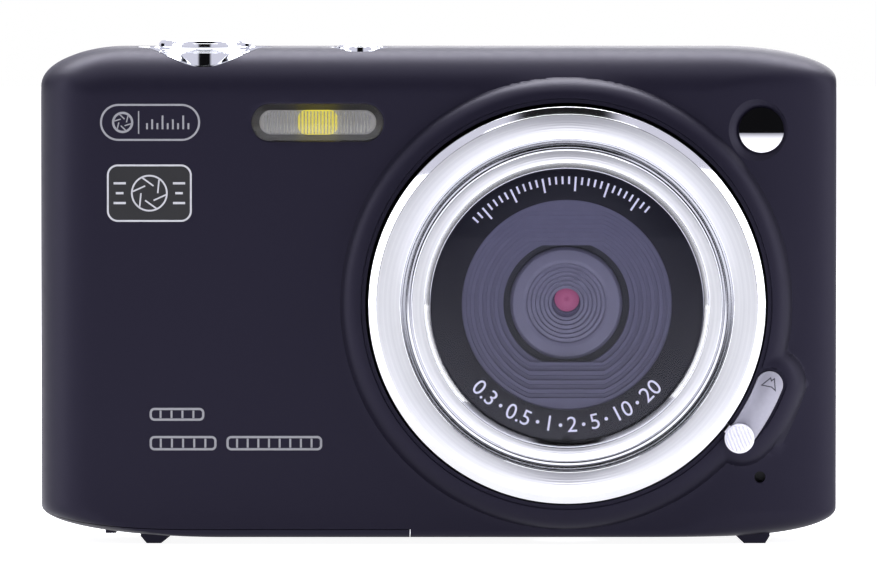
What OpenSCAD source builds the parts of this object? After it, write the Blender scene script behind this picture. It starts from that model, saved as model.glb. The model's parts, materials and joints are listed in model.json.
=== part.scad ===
// Compact digital camera: an assembly of separate pieces.
// +X is the right side seen from the front, the front faces -Y, +Z is up.
// The origin is under the middle of the case, in the plane of the feet. Millimetres.

/* [Case] */
// Width of the case
body_w = 105; // [100:1:112]
// Height of the underside above the feet plane
foot_h = 0.95; // [0.6:0.05:1.5]
// Height of the case from underside to top
body_h = 64.45; // [62:0.05:68]
// Depth of the case from front face to rear face
body_d = 23; // [22:0.5:25]
// Front face, as a place along Y
front_y = -8.5; // [-9:0.5:-8]
// Wall thickness at the front and sides
wall = 1.6; // [1.4:0.1:2]
// Wall thickness at the rear
rear_wall = 1.5; // [1.2:0.1:1.8]

/* [Lens front] */
// Lens axis, as a place along X
lens_x = 16.82; // [14:0.1:18]
// Lens axis, as a height
lens_z = 31.76; // [31:0.1:33]
// Outer radius of the bright lens ring
ring_r = 26; // [25:0.1:26.2]
// How far the lens ring stands in front of the case
ring_proud = 6.5; // [5:0.5:8]
// Radius of the lens window
window_r = 17.9; // [17:0.1:17.9]
// Radius of the lens barrel
barrel_r = 7.4; // [7:0.1:7.4]

/* [Macro lever] */
// Radius of the lever's path about the lens axis
lever_r = 28.7; // [28.6:0.1:28.8]
// Angle of the lever's low end
lever_low = -37.8; // [-40:0.1:-36]
// Angle of the lever's high end
lever_high = -21.7; // [-23:0.1:-20]

/* [Controls] */
// Shutter button's place along X
shutter_x = -30.9; // [-33:0.1:-29]
// Shutter button's radius
shutter_r = 6.1; // [5.5:0.1:6.1]
// Power button's place along X
power_x = -10.34; // [-12:0.1:-9]
// How far a rear key stands proud
key_proud = 0.5; // [0.3:0.1:0.8]

/* [Screen] */
// Width of the screen window
screen_w = 61.8; // [58:0.1:62]
// Height of the screen window
screen_h = 47.8; // [44:0.1:48]

/* [Battery door] */
// Right end of the door along X
door_end = -3.8; // [-6:0.1:-3]
// Thickness of the door
door_t = 1; // [0.8:0.1:1.1]
// Radius of the hinge pin
pin_r = 0.5; // [0.4:0.05:0.55]

/* [Hidden] */
$fn = 64;

left_x = -body_w / 2;
right_x = body_w / 2;
rear_y = front_y + body_d;
split_y = rear_y - 3;
base_z = foot_h;
top_z = foot_h + body_h;
inner_front = front_y + wall;
inner_rear = rear_y - rear_wall;
gap = 0.1;

// Corner quarter-ellipses of the front outline: [horizontal, vertical]
corner_tl = [11, 5];
corner_tr = [15, 4.2];
corner_bl = [20, 3.9];
corner_br = [14.5, 3.7];
// Edge rounding towards the front: [how far in from the edge, how deep]
round_left = [7, 7];
round_right = [18, 5];
round_top = [6, 6];
round_bottom = [1, 1];
round_rear = [3, 3];

// Distance in from the edge at depth d of a rounding with half-axes r[0] and r[1]
function inset(r, d) = d >= r[1] ? 0 : r[0] * (1 - sqrt(1 - pow(1 - d / r[1], 2)));
function clamp_low(v) = max(v, 0.4);
// One rounded corner of an outline, counter-clockwise from angle a
function corner(cx, cz, a, rx, rz) =
    [for (t = [0 : 15 : 90]) [cx + rx * cos(a + t), cz + rz * sin(a + t)]];
// Case outline seen from the front, drawn in by l, r, t and b at its four sides
function outline(l, r, t, b) =
    let (x0 = left_x + l, x1 = right_x - r, z0 = base_z + b, z1 = top_z - t)
    let (tlx = clamp_low(corner_tl[0] - l), tlz = clamp_low(corner_tl[1] - t))
    let (trx = clamp_low(corner_tr[0] - r), trz = clamp_low(corner_tr[1] - t))
    let (blx = clamp_low(corner_bl[0] - l), blz = clamp_low(corner_bl[1] - b))
    let (brx = clamp_low(corner_br[0] - r), brz = clamp_low(corner_br[1] - b))
    concat(
        corner(x1 - trx, z1 - trz, 0, trx, trz),
        corner(x0 + tlx, z1 - tlz, 90, tlx, tlz),
        corner(x0 + blx, z0 + blz, 180, blx, blz),
        corner(x1 - brx, z0 + brz, 270, brx, brz));

// Thin slab of the case outline at y, drawn in by wall w and by the front rounding at depth d
module front_slab(y, w, d) {
    translate([0, y + 0.01, 0]) rotate([90, 0, 0]) linear_extrude(0.01)
        polygon(outline(w + inset(round_left - [w, w], d), w + inset(round_right - [w, w], d),
            w + inset(round_top - [w, w], d), w + inset(round_bottom, d)));
}
// Thin slab of the outline near the rear face, at depth d from it
module rear_slab(y, d) {
    e = inset(round_rear, d);
    translate([0, y + 0.01, 0]) rotate([90, 0, 0]) linear_extrude(0.01) polygon(outline(e, e, e, e));
}
// Outer form of the case in front of the split
module case_form() {
    hull() {
        for (d = [0, 0.4, 1.2, 2.6, 4.6, 7]) front_slab(front_y + d, 0, d);
        front_slab(split_y - 0.01, 0, 7);
    }
}

module box(x0, x1, y0, y1, z0, z1) {
    translate([x0, y0, z0]) cube([x1 - x0, y1 - y0, z1 - z0]);
}
module disc_y(x, z, r, y0, y1) {
    translate([x, y0, z]) rotate([-90, 0, 0]) cylinder(h = y1 - y0, r = r);
}
module disc_x(y, z, r, x0, x1) {
    translate([x0, y, z]) rotate([0, 90, 0]) cylinder(h = x1 - x0, r = r);
}
module disc_z(x, y, r, z0, z1) {
    translate([x, y, z0]) cylinder(h = z1 - z0, r = r);
}
// Pill with a horizontal long side, or a disc where w equals h, from y0 to y1
module pill_y(x, z, w, h, y0, y1) {
    if (w > h + 1) box(x - w / 2 + h / 2, x + w / 2 - h / 2, y0, y1, z - h / 2, z + h / 2);
    for (s = w > h + 1 ? [-1, 1] : [0]) disc_y(x + s * (w - h) / 2, z, h / 2, y0, y1);
}
// Turned form about the lens axis, from [radius, y] points
module turned(points) {
    translate([lens_x, 0, lens_z]) rotate([-90, 0, 0]) rotate_extrude($fn = 128) polygon(points);
}
// Part of a turned ring between two angles, seen from the front, counter-clockwise from +X
module sector(r0, r1, y0, y1, a0, a1) {
    translate([lens_x, 0, lens_z]) rotate([-90, 0, 0]) rotate([0, 0, -a1])
        rotate_extrude(angle = a1 - a0, $fn = 128) translate([r0, y0]) square([r1 - r0, y1 - y0]);
}
// Arc pill along the lever's path, from its low end to its high end
module lever_pill(half, y0, y1) {
    sector(lever_r - half, lever_r + half, y0, y1, lever_low, lever_high);
    for (a = [lever_low, lever_high]) disc_y(polar_x(lever_r, a), polar_z(lever_r, a), half, y0, y1);
}
function polar_x(r, a) = lens_x + r * cos(a);
function polar_z(r, a) = lens_z + r * sin(a);

// Shared places
collar_y = front_y - 1.9;
collar_hole_r = ring_r + 0.4;
lever_half = 1.8;
strip_y = collar_y + 0.35;
strip_t = 0.9;
blade_in = ring_r + 0.2;
blade_out = ring_r + 0.65;
blade_half = 2.2;
ring_y = front_y - ring_proud;
flange_y = inner_front + 0.1;
glass_y = ring_y + 1.6;
mirror_x = 42.47;
mirror_z = 54.56;
mirror_r = 2.97;
mic_x = 42.3;
mic_z = 8.9;
flash_x = -15.9;
flash_z = 55.55;
flash_w = 17.2;
flash_h = 4.85;
shutter_y = front_y + 10.06;
bezel_r = 8.9;
power_y = front_y + 7.6;
power_bezel_r = 4.14;
socket_y = (front_y + rear_y) / 2;
screen_x = 16.5;
screen_z = 32;
usb_y = 3.8;
usb_z = 20.5;
lug_y = 5;
lug_z = 48;
pin_y = 9.95;
pin_z = 2.2;
knuckle_r = 1.25;
door_rear = 8.3;
swing_room = 0.65;
frame_y = 1.7;
board_y = 5.4;
key_board_y = 9.2;
key_flange_y = 11.9;
screw_y = 9.5;
screw_heights = [14, 58];
left_foot = [-39.3, -38.5, -36.6, -35.4];
right_foot = [39.3, 40.3, 43.1, 43.7];
knuckles = [-28.8, -15.8];
knuckle_w = 5.6;

// Keys on the rear: [x, z, width, height]
zoom_wide = [-38.6, 56, 8.6, 4.2];
zoom_tele = [-27.4, 56, 8.6, 4.2];
mode_place = [-33, 47, 5.6, 5.6];
menu_place = [-43, 17, 5.6, 5.6];
playback_place = [-23, 17, 5.6, 5.6];
nav_x = -33;
nav_z = 32;
nav_out = 9.6;
nav_in = 4.5;
ok_r = 4.1;
nav_stem = 7.2;
lamp_x = -19.5;
lamp_z = 51;

// Space between the case underside and the door seam, as a shape seen from the front
module door_shape(lift, end) {
    seam_rise = 2.85;
    polygon(concat(
        [[left_x - 1, -1], [end, -1], [end, base_z + door_t + lift]],
        [for (t = [0 : 10 : 90])
            [left_x + corner_bl[0] * (1 - sin(t)),
             base_z + door_t + lift + seam_rise * (1 - cos(t))]],
        [[left_x - 1, base_z + door_t + lift + seam_rise]]));
}
module door_space(lift, end, y1) {
    translate([0, y1, 0]) rotate([90, 0, 0]) linear_extrude(y1 - front_y + 1) door_shape(lift, end);
}
// Foot bar: a trapezoid seen from the front
module foot(f) {
    translate([0, 7.5, 0]) rotate([90, 0, 0]) linear_extrude(12.5)
        polygon([[f[1], 0], [f[2], 0], [f[3], foot_h], [f[3], foot_h + 0.6], [f[0], foot_h + 0.6],
            [f[0], foot_h]]);
}

module front_shell() {
    color("#282735") difference() {
        union() {
            difference() {
                case_form();
                hull() {
                    for (d = [0, 0.8, 2.6, 5.4]) front_slab(inner_front + d, wall, d);
                    front_slab(split_y + 0.5, wall, 6);
                }
            }
            // Raised collar round the lens ring
            turned([[ring_r, inner_front], [ring_r, collar_y + 0.3], [ring_r + 0.7, collar_y],
                [27.7, collar_y], [28.4, collar_y + 0.25], [29, collar_y + 0.9],
                [29.4, front_y - 0.4], [29.9, front_y + 0.1], [29.9, inner_front]]);
            // Collar widened round the macro lever
            translate([lens_x, 0, lens_z]) rotate([-90, 0, 0]) rotate([0, 0, 12])
                rotate_extrude(angle = 38, $fn = 128)
                polygon([[27, inner_front], [27, collar_y], [31.2, collar_y], [32, collar_y + 0.3],
                    [32.7, collar_y + 1.1], [33.1, front_y + 0.4], [33.1, inner_front]]);
            // Bosses behind the mirror and round the microphone
            disc_y(mirror_x, mirror_z, 4.2, front_y + 1.2, front_y + 3.4);
            disc_y(mic_x, mic_z, 2.7, front_y + 1.2, front_y + 4);
            // Hinge block for the battery door
            box(knuckles[0] - 3, knuckles[1] + knuckle_w + 3, door_rear + gap, split_y,
                base_z + 0.4, pin_z + 1.3);
            foot(right_foot);
        }
        // Lens opening, the seat of the lever's strip and the way of the lever's blade
        disc_y(lens_x, lens_z, collar_hole_r, ring_y, 0);
        disc_y(lens_x, lens_z, 27.8, inner_front + 0.04, 0);
        lever_pill(lever_half + 0.05, ring_y, strip_y + strip_t);
        sector(ring_r - 1, blade_out + 0.2, ring_y, 0, lever_low - blade_half - 0.7,
            lever_high + blade_half + 0.7);
        // Flash, mirror and microphone openings
        pill_y(flash_x, flash_z, flash_w + gap, flash_h + gap, front_y - 1, 0);
        disc_y(mirror_x, mirror_z, mirror_r + 0.05, front_y - 1, front_y + 2.3);
        translate([mirror_x, front_y + 1.2, mirror_z]) rotate([90, 0, 0])
            cylinder(h = 1.6, r1 = mirror_r, r2 = mirror_r + 2.2);
        disc_y(mic_x, mic_z, 0.75, front_y - 1, 0);
        disc_y(mic_x, mic_z, 2.05, front_y + 2.6, 0);
        // Button wells in the top
        disc_z(shutter_x, shutter_y, bezel_r, 61.1, 70);
        disc_z(power_x, power_y, power_bezel_r, 62.3, 70);
        // Battery door, its compartment mouth and hinge
        door_space(gap, door_end + gap, door_rear + gap);
        box(left_x - 1, door_end + gap, door_rear, door_rear + swing_room, 0, pin_z);
        box(-48, -8, inner_front + 0.2, door_rear + gap, 1, 4);
        for (x = knuckles) box(x - 0.2, x + knuckle_w + 0.2, door_rear, 11.4, 0, pin_z + 1.4);
        disc_x(pin_y, pin_z, pin_r, knuckles[0] - 2, knuckles[1] + knuckle_w + 2);
        // Tripod socket, side sockets, speaker holes and screw holes
        disc_z(lens_x, socket_y, 4.25, 0, 3);
        box(right_x - 4, right_x + 1, usb_y - 1.65, usb_y + 1.65, usb_z - 4.55, usb_z + 4.55);
        box(right_x - 3.4, right_x + 1, lug_y - 2.5, lug_y + 2.5, lug_z - 4.5, lug_z + 4.5);
        for (z = [36.6 : 2.2 : 46]) disc_x(6, z, 0.5, left_x - 1, left_x + 2);
        for (s = [-1, 1], z = screw_heights) {
            disc_x(screw_y, z, 1.25, s * (right_x - 0.5) - 0.7, s * (right_x - 0.5) + 0.7);
            disc_x(screw_y, z, 0.7, s * (right_x - 1) - 1.5, s * (right_x - 1) + 1.5);
        }
    }
}

module rear_cover() {
    color("#201f24") difference() {
        union() {
            difference() {
                hull() {
                    for (d = [0, 0.15, 0.6, 1.5]) rear_slab(rear_y - d - 0.01, d);
                    rear_slab(split_y + 0.02, 3);
                }
                translate([0, inner_rear, 0]) rotate([90, 0, 0])
                    linear_extrude(3) polygon(outline(wall, wall, wall, wall));
            }
            // Screw tabs reaching into the front shell
            for (s = [-1, 1], z = screw_heights)
                box(s * 50.1 - 0.65, s * 50.1 + 0.65, 7.6, inner_rear + 0.2, z - 2, z + 2);
        }
        // Screen opening, with a shallow seat for its window
        box(screen_x - screen_w / 2 - gap, screen_x + screen_w / 2 + gap, rear_y - 0.8, rear_y + 1,
            screen_z - screen_h / 2 - gap, screen_z + screen_h / 2 + gap);
        box(screen_x - 29, screen_x + 29, split_y, rear_y + 1, screen_z - 22, screen_z + 22);
        // Key holes
        for (k = [zoom_wide, zoom_tele, mode_place, menu_place, playback_place])
            pill_y(k[0], k[1], k[2] + 0.3, k[3] + 0.3, split_y, rear_y + 1);
        disc_y(nav_x, nav_z, nav_out + 0.15, split_y, rear_y + 1);
        disc_y(lamp_x, lamp_z, 0.9, split_y, rear_y + 1);
        for (s = [-1, 1], z = screw_heights) disc_x(screw_y, z, 0.6, s * 50 - 2, s * 50 + 2);
    }
}

module mid_frame() {
    color("#3a3c40") difference() {
        union() {
            box(-50, 42.5, frame_y, frame_y + 1, 8, 56.5);
            box(-46, -11.6, inner_front + 0.3, frame_y, 47.6, 48.8);
            box(-12.6, -11.6, inner_front + 0.3, frame_y, 8, 48.8);
            for (x = [-9, 40], z = [12, 52]) disc_y(x, z, 2, frame_y + 1, board_y);
            for (x = [-47, -17]) disc_y(x, 50.5, 1.6, frame_y + 1, key_board_y);
        }
        box(lens_x - 12, lens_x + 12, 0, 5, lens_z - 10, lens_z + 10);
        for (x = [-9, 40], z = [12, 52]) disc_y(x, z, 0.8, frame_y - 1, board_y + 1);
        for (x = [-47, -17]) disc_y(x, 50.5, 0.8, frame_y - 1, key_board_y + 1);
        for (s = [-1, 1]) disc_y(lens_x + s * 14.5, lens_z, 0.8, 0, 5);
    }
}

module battery_door() {
    color("#262532") {
        difference() {
            union() {
                intersection() {
                    case_form();
                    door_space(0, door_end, door_rear);
                }
                foot(left_foot);
                // Ribs that press on the battery
                for (x = [-44, -32, -20]) box(x, x + 1.4, -3.6, 0.6, base_z + 0.3, 5.2);
                // Hinge knuckles
                for (x = knuckles) {
                    disc_x(pin_y, pin_z, knuckle_r, x, x + knuckle_w);
                    box(x, x + knuckle_w, door_rear - 0.5, pin_y, base_z, base_z + door_t);
                }
                // Snap catch at the free edge
                box(-27, -21, -6.2, -5.2, base_z + 0.3, 4.2);
            }
            disc_x(pin_y, pin_z, pin_r + 0.05, -40, 0);
        }
    }
}

module battery_door_pin() {
    color("#c9ccd1") disc_x(pin_y, pin_z, pin_r, knuckles[0] - 1.9, knuckles[1] + knuckle_w + 1.9);
}

module tripod_socket() {
    color("#b9bcc2") difference() {
        disc_z(lens_x, socket_y, 4.2, base_z - 0.2, 7);
        disc_z(lens_x, socket_y, 2.6, 0, 6.25);
    }
}

module strap_lug() {
    color("#b8bac0") {
        difference() {
            box(right_x - 3.4, right_x - 0.1, lug_y - 2.45, lug_y + 2.45, lug_z - 4.45, lug_z + 4.45);
            box(right_x - 2.9, right_x + 1, lug_y - 2, lug_y + 2, lug_z - 4, lug_z + 4);
        }
        disc_z(right_x - 1.3, lug_y, 0.65, lug_z - 4.1, lug_z + 4.1);
    }
}

module case_screws() {
    color("#9a9ca2") for (s = [-1, 1], z = screw_heights) difference() {
        union() {
            disc_x(screw_y, z, 1.2, s * (right_x - 0.6) - 0.45, s * (right_x - 0.6) + 0.45);
            disc_x(screw_y, z, 0.55, s * 50.7 - 1.5, s * 50.7 + 1.5);
        }
        for (a = [0, 90]) translate([s * right_x, screw_y, z]) rotate([a, 0, 0])
            cube([0.9, 1.5, 0.35], center = true);
    }
}

module board_screws() {
    color("#a9abb0") {
        for (x = [-9, 40], z = [12, 52]) {
            disc_y(x, z, 1.5, board_y + 1, board_y + 1.8);
            disc_y(x, z, 0.75, 2.2, board_y + 1);
        }
        for (x = [-47, -17]) {
            disc_y(x, 50.5, 1.5, key_board_y + 0.8, key_board_y + 1.5);
            disc_y(x, 50.5, 0.75, 2.2, key_board_y + 0.8);
        }
        for (s = [-1, 1]) {
            disc_y(lens_x + s * 14.5, lens_z, 1.5, frame_y + 1.85, frame_y + 2.6);
            disc_y(lens_x + s * 14.5, lens_z, 0.75, frame_y + 0.1, frame_y + 1.85);
        }
    }
}

module lens_ring_outer() {
    color("#d8dade") difference() {
        turned([[21.1, -5.9], [27.6, -5.9], [27.6, flange_y], [ring_r, flange_y],
            [ring_r, ring_y + 0.8], [25, ring_y], [21.85, ring_y + 0.4], [21.45, ring_y + 1.1],
            [21.1, ring_y + 1.3]]);
        // Notch in the flange for the lever's blade
        sector(ring_r, 29, flange_y - 0.5, 0, lever_low - blade_half - 0.7,
            lever_high + blade_half + 0.7);
    }
}

module lens_ring_inner() {
    color("#dcdde2") turned([[21.05, -6.2], [21.05, ring_y + 1.3], [20.7, ring_y + 1.2],
        [20.3, ring_y + 0.5], [18.7, ring_y + 0.6], [18, ring_y + 1.4], [18, glass_y + 1],
        [14.6, glass_y + 1], [14.6, glass_y + 2], [19.8, glass_y + 2], [19.8, -6.2]]);
}

module lens_window() {
    color("#404050", 0.5) difference() {
        disc_y(lens_x, lens_z, window_r, glass_y, glass_y + 0.7);
        disc_y(lens_x, lens_z - window_r, 0.65, glass_y - 1, glass_y + 1);
    }
}

module lens_mask() {
    color("#141418") difference() {
        disc_y(lens_x, lens_z, window_r, glass_y + 0.7, glass_y + 1);
        disc_y(lens_x, lens_z, 13.77, glass_y, glass_y + 2);
    }
}

// Stepped cone: each step is one ledge and one short wall
module lens_hood() {
    steps = 5;
    step_r = 1.08;
    step_y = 0.82;
    mouth_y = glass_y + 1.05;
    color("#5f5d6e") turned(concat(
        [for (i = [0 : steps]) each [
            [13.7 - i * step_r, mouth_y + i * step_y],
            [13.7 - i * step_r, mouth_y + (i + 1) * step_y]]],
        [[8.3, -6.6], [9.6, -6.6], [9.6, -7.4], [14.4, -10.9], [14.4, mouth_y]]));
}

module lens_barrel() {
    color("#66657a") turned([[barrel_r, -0.2], [barrel_r, -6.6], [7, -7], [5.4, -7], [5, -6.8],
        [2.9, -5.6], [2.9, -5.4], [3.6, -5.4], [3.6, -3.4], [2.2, -3.4], [2.2, -2.4],
        [3.2, -2.4], [3.2, -0.2]]);
}

module front_element() {
    color("#905e77", 0.6) turned(concat([[0, -3.5], [3.58, -3.5], [3.58, -5.35]],
        [for (t = [1 : -0.2 : 0]) [2.8 * t, -5.85 + 0.5 * t * t]]));
}

module rear_element() {
    color("#8a90a8", 0.6) turned(concat([[0, -2.3], [3.18, -2.3], [3.18, -1.1]],
        [for (t = [1 : -0.2 : 0]) [3 * t, -0.5 - 0.5 * t * t]]));
}

module lens_holder() {
    color("#2a2a2e") difference() {
        union() {
            disc_y(lens_x, lens_z, 9.95, -6.2, frame_y + 1.05);
            box(lens_x - 11.5, lens_x + 11.5, 1.2, frame_y + 1.05, lens_z - 9.5, lens_z + 9.5);
            box(lens_x - 17, lens_x + 17, frame_y + 1.05, frame_y + 1.85, lens_z - 8, lens_z + 8);
        }
        disc_y(lens_x, lens_z, barrel_r + 0.05, -7, 0.6);
        box(lens_x - 3.4, lens_x + 3.4, 0, 5, lens_z - 2.7, lens_z + 2.7);
        box(lens_x - 5.1, lens_x + 5.1, 1.2, 5, lens_z - 4.6, lens_z + 4.6);
        for (s = [-1, 1]) disc_y(lens_x + s * 14.5, lens_z, 0.8, 0, 5);
    }
}

module ir_filter() {
    color("#a8c8d8", 0.6) box(lens_x - 4.9, lens_x + 4.9, 1.2, 1.7, lens_z - 4.4, lens_z + 4.4);
}

module image_sensor() {
    color("#30343a") box(lens_x - 4.6, lens_x + 4.6, 2.3, frame_y + 1.85, lens_z - 4.2, lens_z + 4.2);
}

module sensor_board() {
    color("#1d5a3a") difference() {
        box(lens_x - 12.5, lens_x + 12.5, frame_y + 1.85, frame_y + 2.75, lens_z - 10, lens_z + 10);
        for (s = [-1, 1]) disc_y(lens_x + s * 14.5, lens_z, 2.3, 0, 8);
    }
}

// Bright strip let into the collar, under the lever's knob
module macro_strip() {
    color("#d4d2e0") difference() {
        lever_pill(lever_half, strip_y, strip_y + strip_t);
        sector(ring_r - 1, blade_out + 0.2, ring_y, 0, lever_low - 8, lever_high + 8);
    }
}

// Knob over the strip, with a thin blade that passes between the strip and the lens ring
module macro_knob() {
    low = lever_low - blade_half;
    high = lever_low + blade_half;
    color("#e2e2e8") {
        disc_y(polar_x(lever_r, lever_low), polar_z(lever_r, lever_low), 1.95,
            collar_y - 1.7, collar_y - 0.25);
        sector(blade_in, lever_r, collar_y - 1, collar_y - 0.25, low, high);
        sector(blade_in, blade_out, collar_y - 1, -5.4, low, high);
    }
}

module macro_cam() {
    color("#4a4a50") difference() {
        union() {
            disc_y(lens_x, lens_z, 23, -5.4, -4.4);
            sector(20, blade_out, -5.4, -4.4, lever_low - blade_half, lever_low + blade_half);
        }
        disc_y(lens_x, lens_z, 10, -7, 0);
    }
}

module flash_window() {
    color("#b8b8b0", 0.6) pill_y(flash_x, flash_z, flash_w, flash_h, front_y + 0.15, front_y + 1.8);
}

module flash_reflector() {
    color("#c8c8cc") difference() {
        pill_y(flash_x, flash_z, 18.4, 6.2, front_y + 1.85, -4.2);
        pill_y(flash_x, flash_z, 15, 3.6, front_y + 1, -4.8);
        box(flash_x - 2.7, flash_x + 2.7, -7, -4, flash_z - 1.7, flash_z + 1.7);
    }
}

module flash_led() {
    color("#f0e060") box(flash_x - 2.5, flash_x + 2.5, -5, -4.2, flash_z - 1.5, flash_z + 1.5);
}

module flash_board() {
    color("#1d5a3a") box(flash_x - 11, flash_x + 11, -4.2, -3.4, flash_z - 4, flash_z + 4);
}

module selfie_mirror() {
    color("#d0d0d6") disc_y(mirror_x, mirror_z, mirror_r, front_y + 1, front_y + 2.3);
}

module microphone() {
    color("#303034") disc_y(mic_x, mic_z, 2, front_y + 2.6, front_y + 4.4);
}

// Bright rings let into the top, cut to the case form
module shutter_bezel() {
    color("#c8cad0") intersection() {
        case_form();
        difference() {
            disc_z(shutter_x, shutter_y, bezel_r - 0.05, 61.2, 70);
            disc_z(shutter_x, shutter_y, shutter_r + 0.1, 60, 70);
            disc_z(shutter_x, shutter_y, 7.2, 60, 62.8);
        }
    }
}

module shutter_button() {
    color("#dcdee4") {
        difference() {
            disc_z(shutter_x, shutter_y, shutter_r, 62.6, 66.3);
            translate([shutter_x, shutter_y, 66.3 + 59.6]) sphere(r = 60, $fn = 96);
        }
        disc_z(shutter_x, shutter_y, 7, 61.9, 62.6);
        disc_z(shutter_x, shutter_y, 1.2, 61.15, 61.9);
    }
}

module power_bezel() {
    color("#c8cad0") intersection() {
        case_form();
        difference() {
            disc_z(power_x, power_y, power_bezel_r - 0.05, 62.4, 70);
            disc_z(power_x, power_y, 3.1, 60, 70);
            disc_z(power_x, power_y, 3.7, 60, 63.35);
        }
    }
}

module power_button() {
    color("#d4d6dc") {
        disc_z(power_x, power_y, 3, 63.2, 65.75);
        disc_z(power_x, power_y, 3.6, 62.65, 63.2);
        disc_z(power_x, power_y, 1, 61.3, 62.65);
    }
}

module top_board() {
    color("#1d5a3a") box(-40, -5, -3.1, 8, 57.4, 58.4);
}

module tact_switches() {
    color("#8c8e94") {
        for (s = [[shutter_x, shutter_y, 60], [power_x, power_y, 60.7]]) {
            box(s[0] - 1.8, s[0] + 1.8, s[1] - 1.8, s[1] + 1.8, 58.4, 59.8);
            disc_z(s[0], s[1], 0.9, 59.8, s[2]);
        }
    }
}

module screen_window() {
    color("#101014") box(screen_x - screen_w / 2, screen_x + screen_w / 2, rear_y - 0.8,
        rear_y - 0.02, screen_z - screen_h / 2, screen_z + screen_h / 2);
}

module screen_panel() {
    color("#15171c") box(screen_x - 30.2, screen_x + 30.2, 10.2, 12.9, screen_z - 23.5, screen_z + 23.5);
}

module key_board() {
    color("#1d5a3a") difference() {
        box(-49, -15, key_board_y, key_board_y + 0.8, 10, 60);
        for (x = [-47, -17]) disc_y(x, 50.5, 0.8, 0, 20);
    }
}

module key_domes() {
    color("#c9a85a") {
        for (k = [zoom_wide, zoom_tele, mode_place, menu_place, playback_place])
            disc_y(k[0], k[1], 1.9, key_board_y + 0.8, key_board_y + 1.3);
        for (a = [0 : 90 : 270])
            disc_y(nav_x + nav_stem * cos(a), nav_z + nav_stem * sin(a), 1.9,
                key_board_y + 0.8, key_board_y + 1.3);
        disc_y(nav_x, nav_z, 1.9, key_board_y + 0.8, key_board_y + 1.3);
    }
}

// Pill key with a retaining flange behind the cover and a stem to its dome
module rear_key(k) {
    color("#3c3b44") {
        pill_y(k[0], k[1], k[2], k[3], key_flange_y + 0.9, rear_y + key_proud);
        pill_y(k[0], k[1], k[2] + 1.2, k[3] + 1.2, key_flange_y, key_flange_y + 0.9);
        disc_y(k[0], k[1], 1.2, key_board_y + 1.75, key_flange_y);
    }
}
module zoom_wide_key() {
    rear_key(zoom_wide);
}
module zoom_tele_key() {
    rear_key(zoom_tele);
}
module mode_key() {
    rear_key(mode_place);
}
module menu_key() {
    rear_key(menu_place);
}
module playback_key() {
    rear_key(playback_place);
}

// One quarter of the four-way key, facing angle a seen from the front
module nav_key(a) {
    module quarter(r0, r1, y0, y1) {
        translate([nav_x, 0, nav_z]) rotate([-90, 0, 0]) rotate([0, 0, -a - 43.5])
            rotate_extrude(angle = 87, $fn = 96) translate([r0, y0]) square([r1 - r0, y1 - y0]);
    }
    color("#3c3b44") {
        quarter(nav_in, nav_out, key_flange_y + 0.9, rear_y + key_proud);
        quarter(nav_in + 0.2, nav_out + 0.8, key_flange_y, key_flange_y + 0.9);
        disc_y(nav_x + nav_stem * cos(a), nav_z + nav_stem * sin(a), 1,
            key_board_y + 1.75, key_flange_y);
    }
}
module nav_up_key() {
    nav_key(90);
}
module nav_down_key() {
    nav_key(270);
}
module nav_left_key() {
    nav_key(180);
}
module nav_right_key() {
    nav_key(0);
}
module ok_key() {
    color("#45444e") {
        disc_y(nav_x, nav_z, ok_r, 11.45, rear_y + key_proud);
        disc_y(nav_x, nav_z, 5.2, 11, 11.45);
    }
}

module status_lamp() {
    color("#60d070") disc_y(lamp_x, lamp_z, 0.85, key_board_y + 0.8, rear_y + 0.1);
}

module main_board() {
    color("#1d5a3a") difference() {
        box(-11, 47.5, board_y, board_y + 1, 8, 56.5);
        for (x = [-9, 40], z = [12, 52]) disc_y(x, z, 0.8, 0, 9);
    }
}

module main_chips() {
    color("#202226") {
        box(12, 25, board_y + 1, board_y + 2.1, 26, 39);
        box(28, 37, board_y + 1, board_y + 2, 28, 37);
        box(-2, 6, board_y + 1, board_y + 2, 18, 26);
    }
}

module speaker() {
    color("#3a3a3c") box(-50.7, -47.7, 3.2, 8.8, 34.5, 47.5);
}

module battery() {
    color("#d8d8d2") box(-48.5, -13.5, -4.6, 1.4, 5.6, 45.6);
}

module battery_contacts() {
    color("#d8b050") for (x = [-45, -42, -39]) box(x, x + 1.4, -2.3, -0.9, 45.6, 47.6);
}

module card_socket() {
    color("#b0b4ba") difference() {
        box(-45, -19, 4.2, 7.1, 8, 39.5);
        box(-44.1, -19.9, 4.5, 6.8, 7, 38.3);
    }
}

module memory_card() {
    color("#28303c") difference() {
        box(-44, -20, 4.6, 6.7, 5, 37);
        translate([-20, 0, 37]) rotate([0, 45, 0]) cube([5.6, 20, 5.6], center = true);
    }
}

module usb_socket() {
    color("#c2c5ca") difference() {
        box(right_x - 8.5, right_x - 0.3, usb_y - 1.6, usb_y + 1.6, usb_z - 4.5, usb_z + 4.5);
        box(right_x - 7, right_x, usb_y - 1.25, usb_y + 1.25, usb_z - 4.15, usb_z + 4.15);
    }
    color("#202024") box(right_x - 7.1, right_x - 2, usb_y - 0.35, usb_y + 0.35, usb_z - 3.3, usb_z + 3.3);
}

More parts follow.
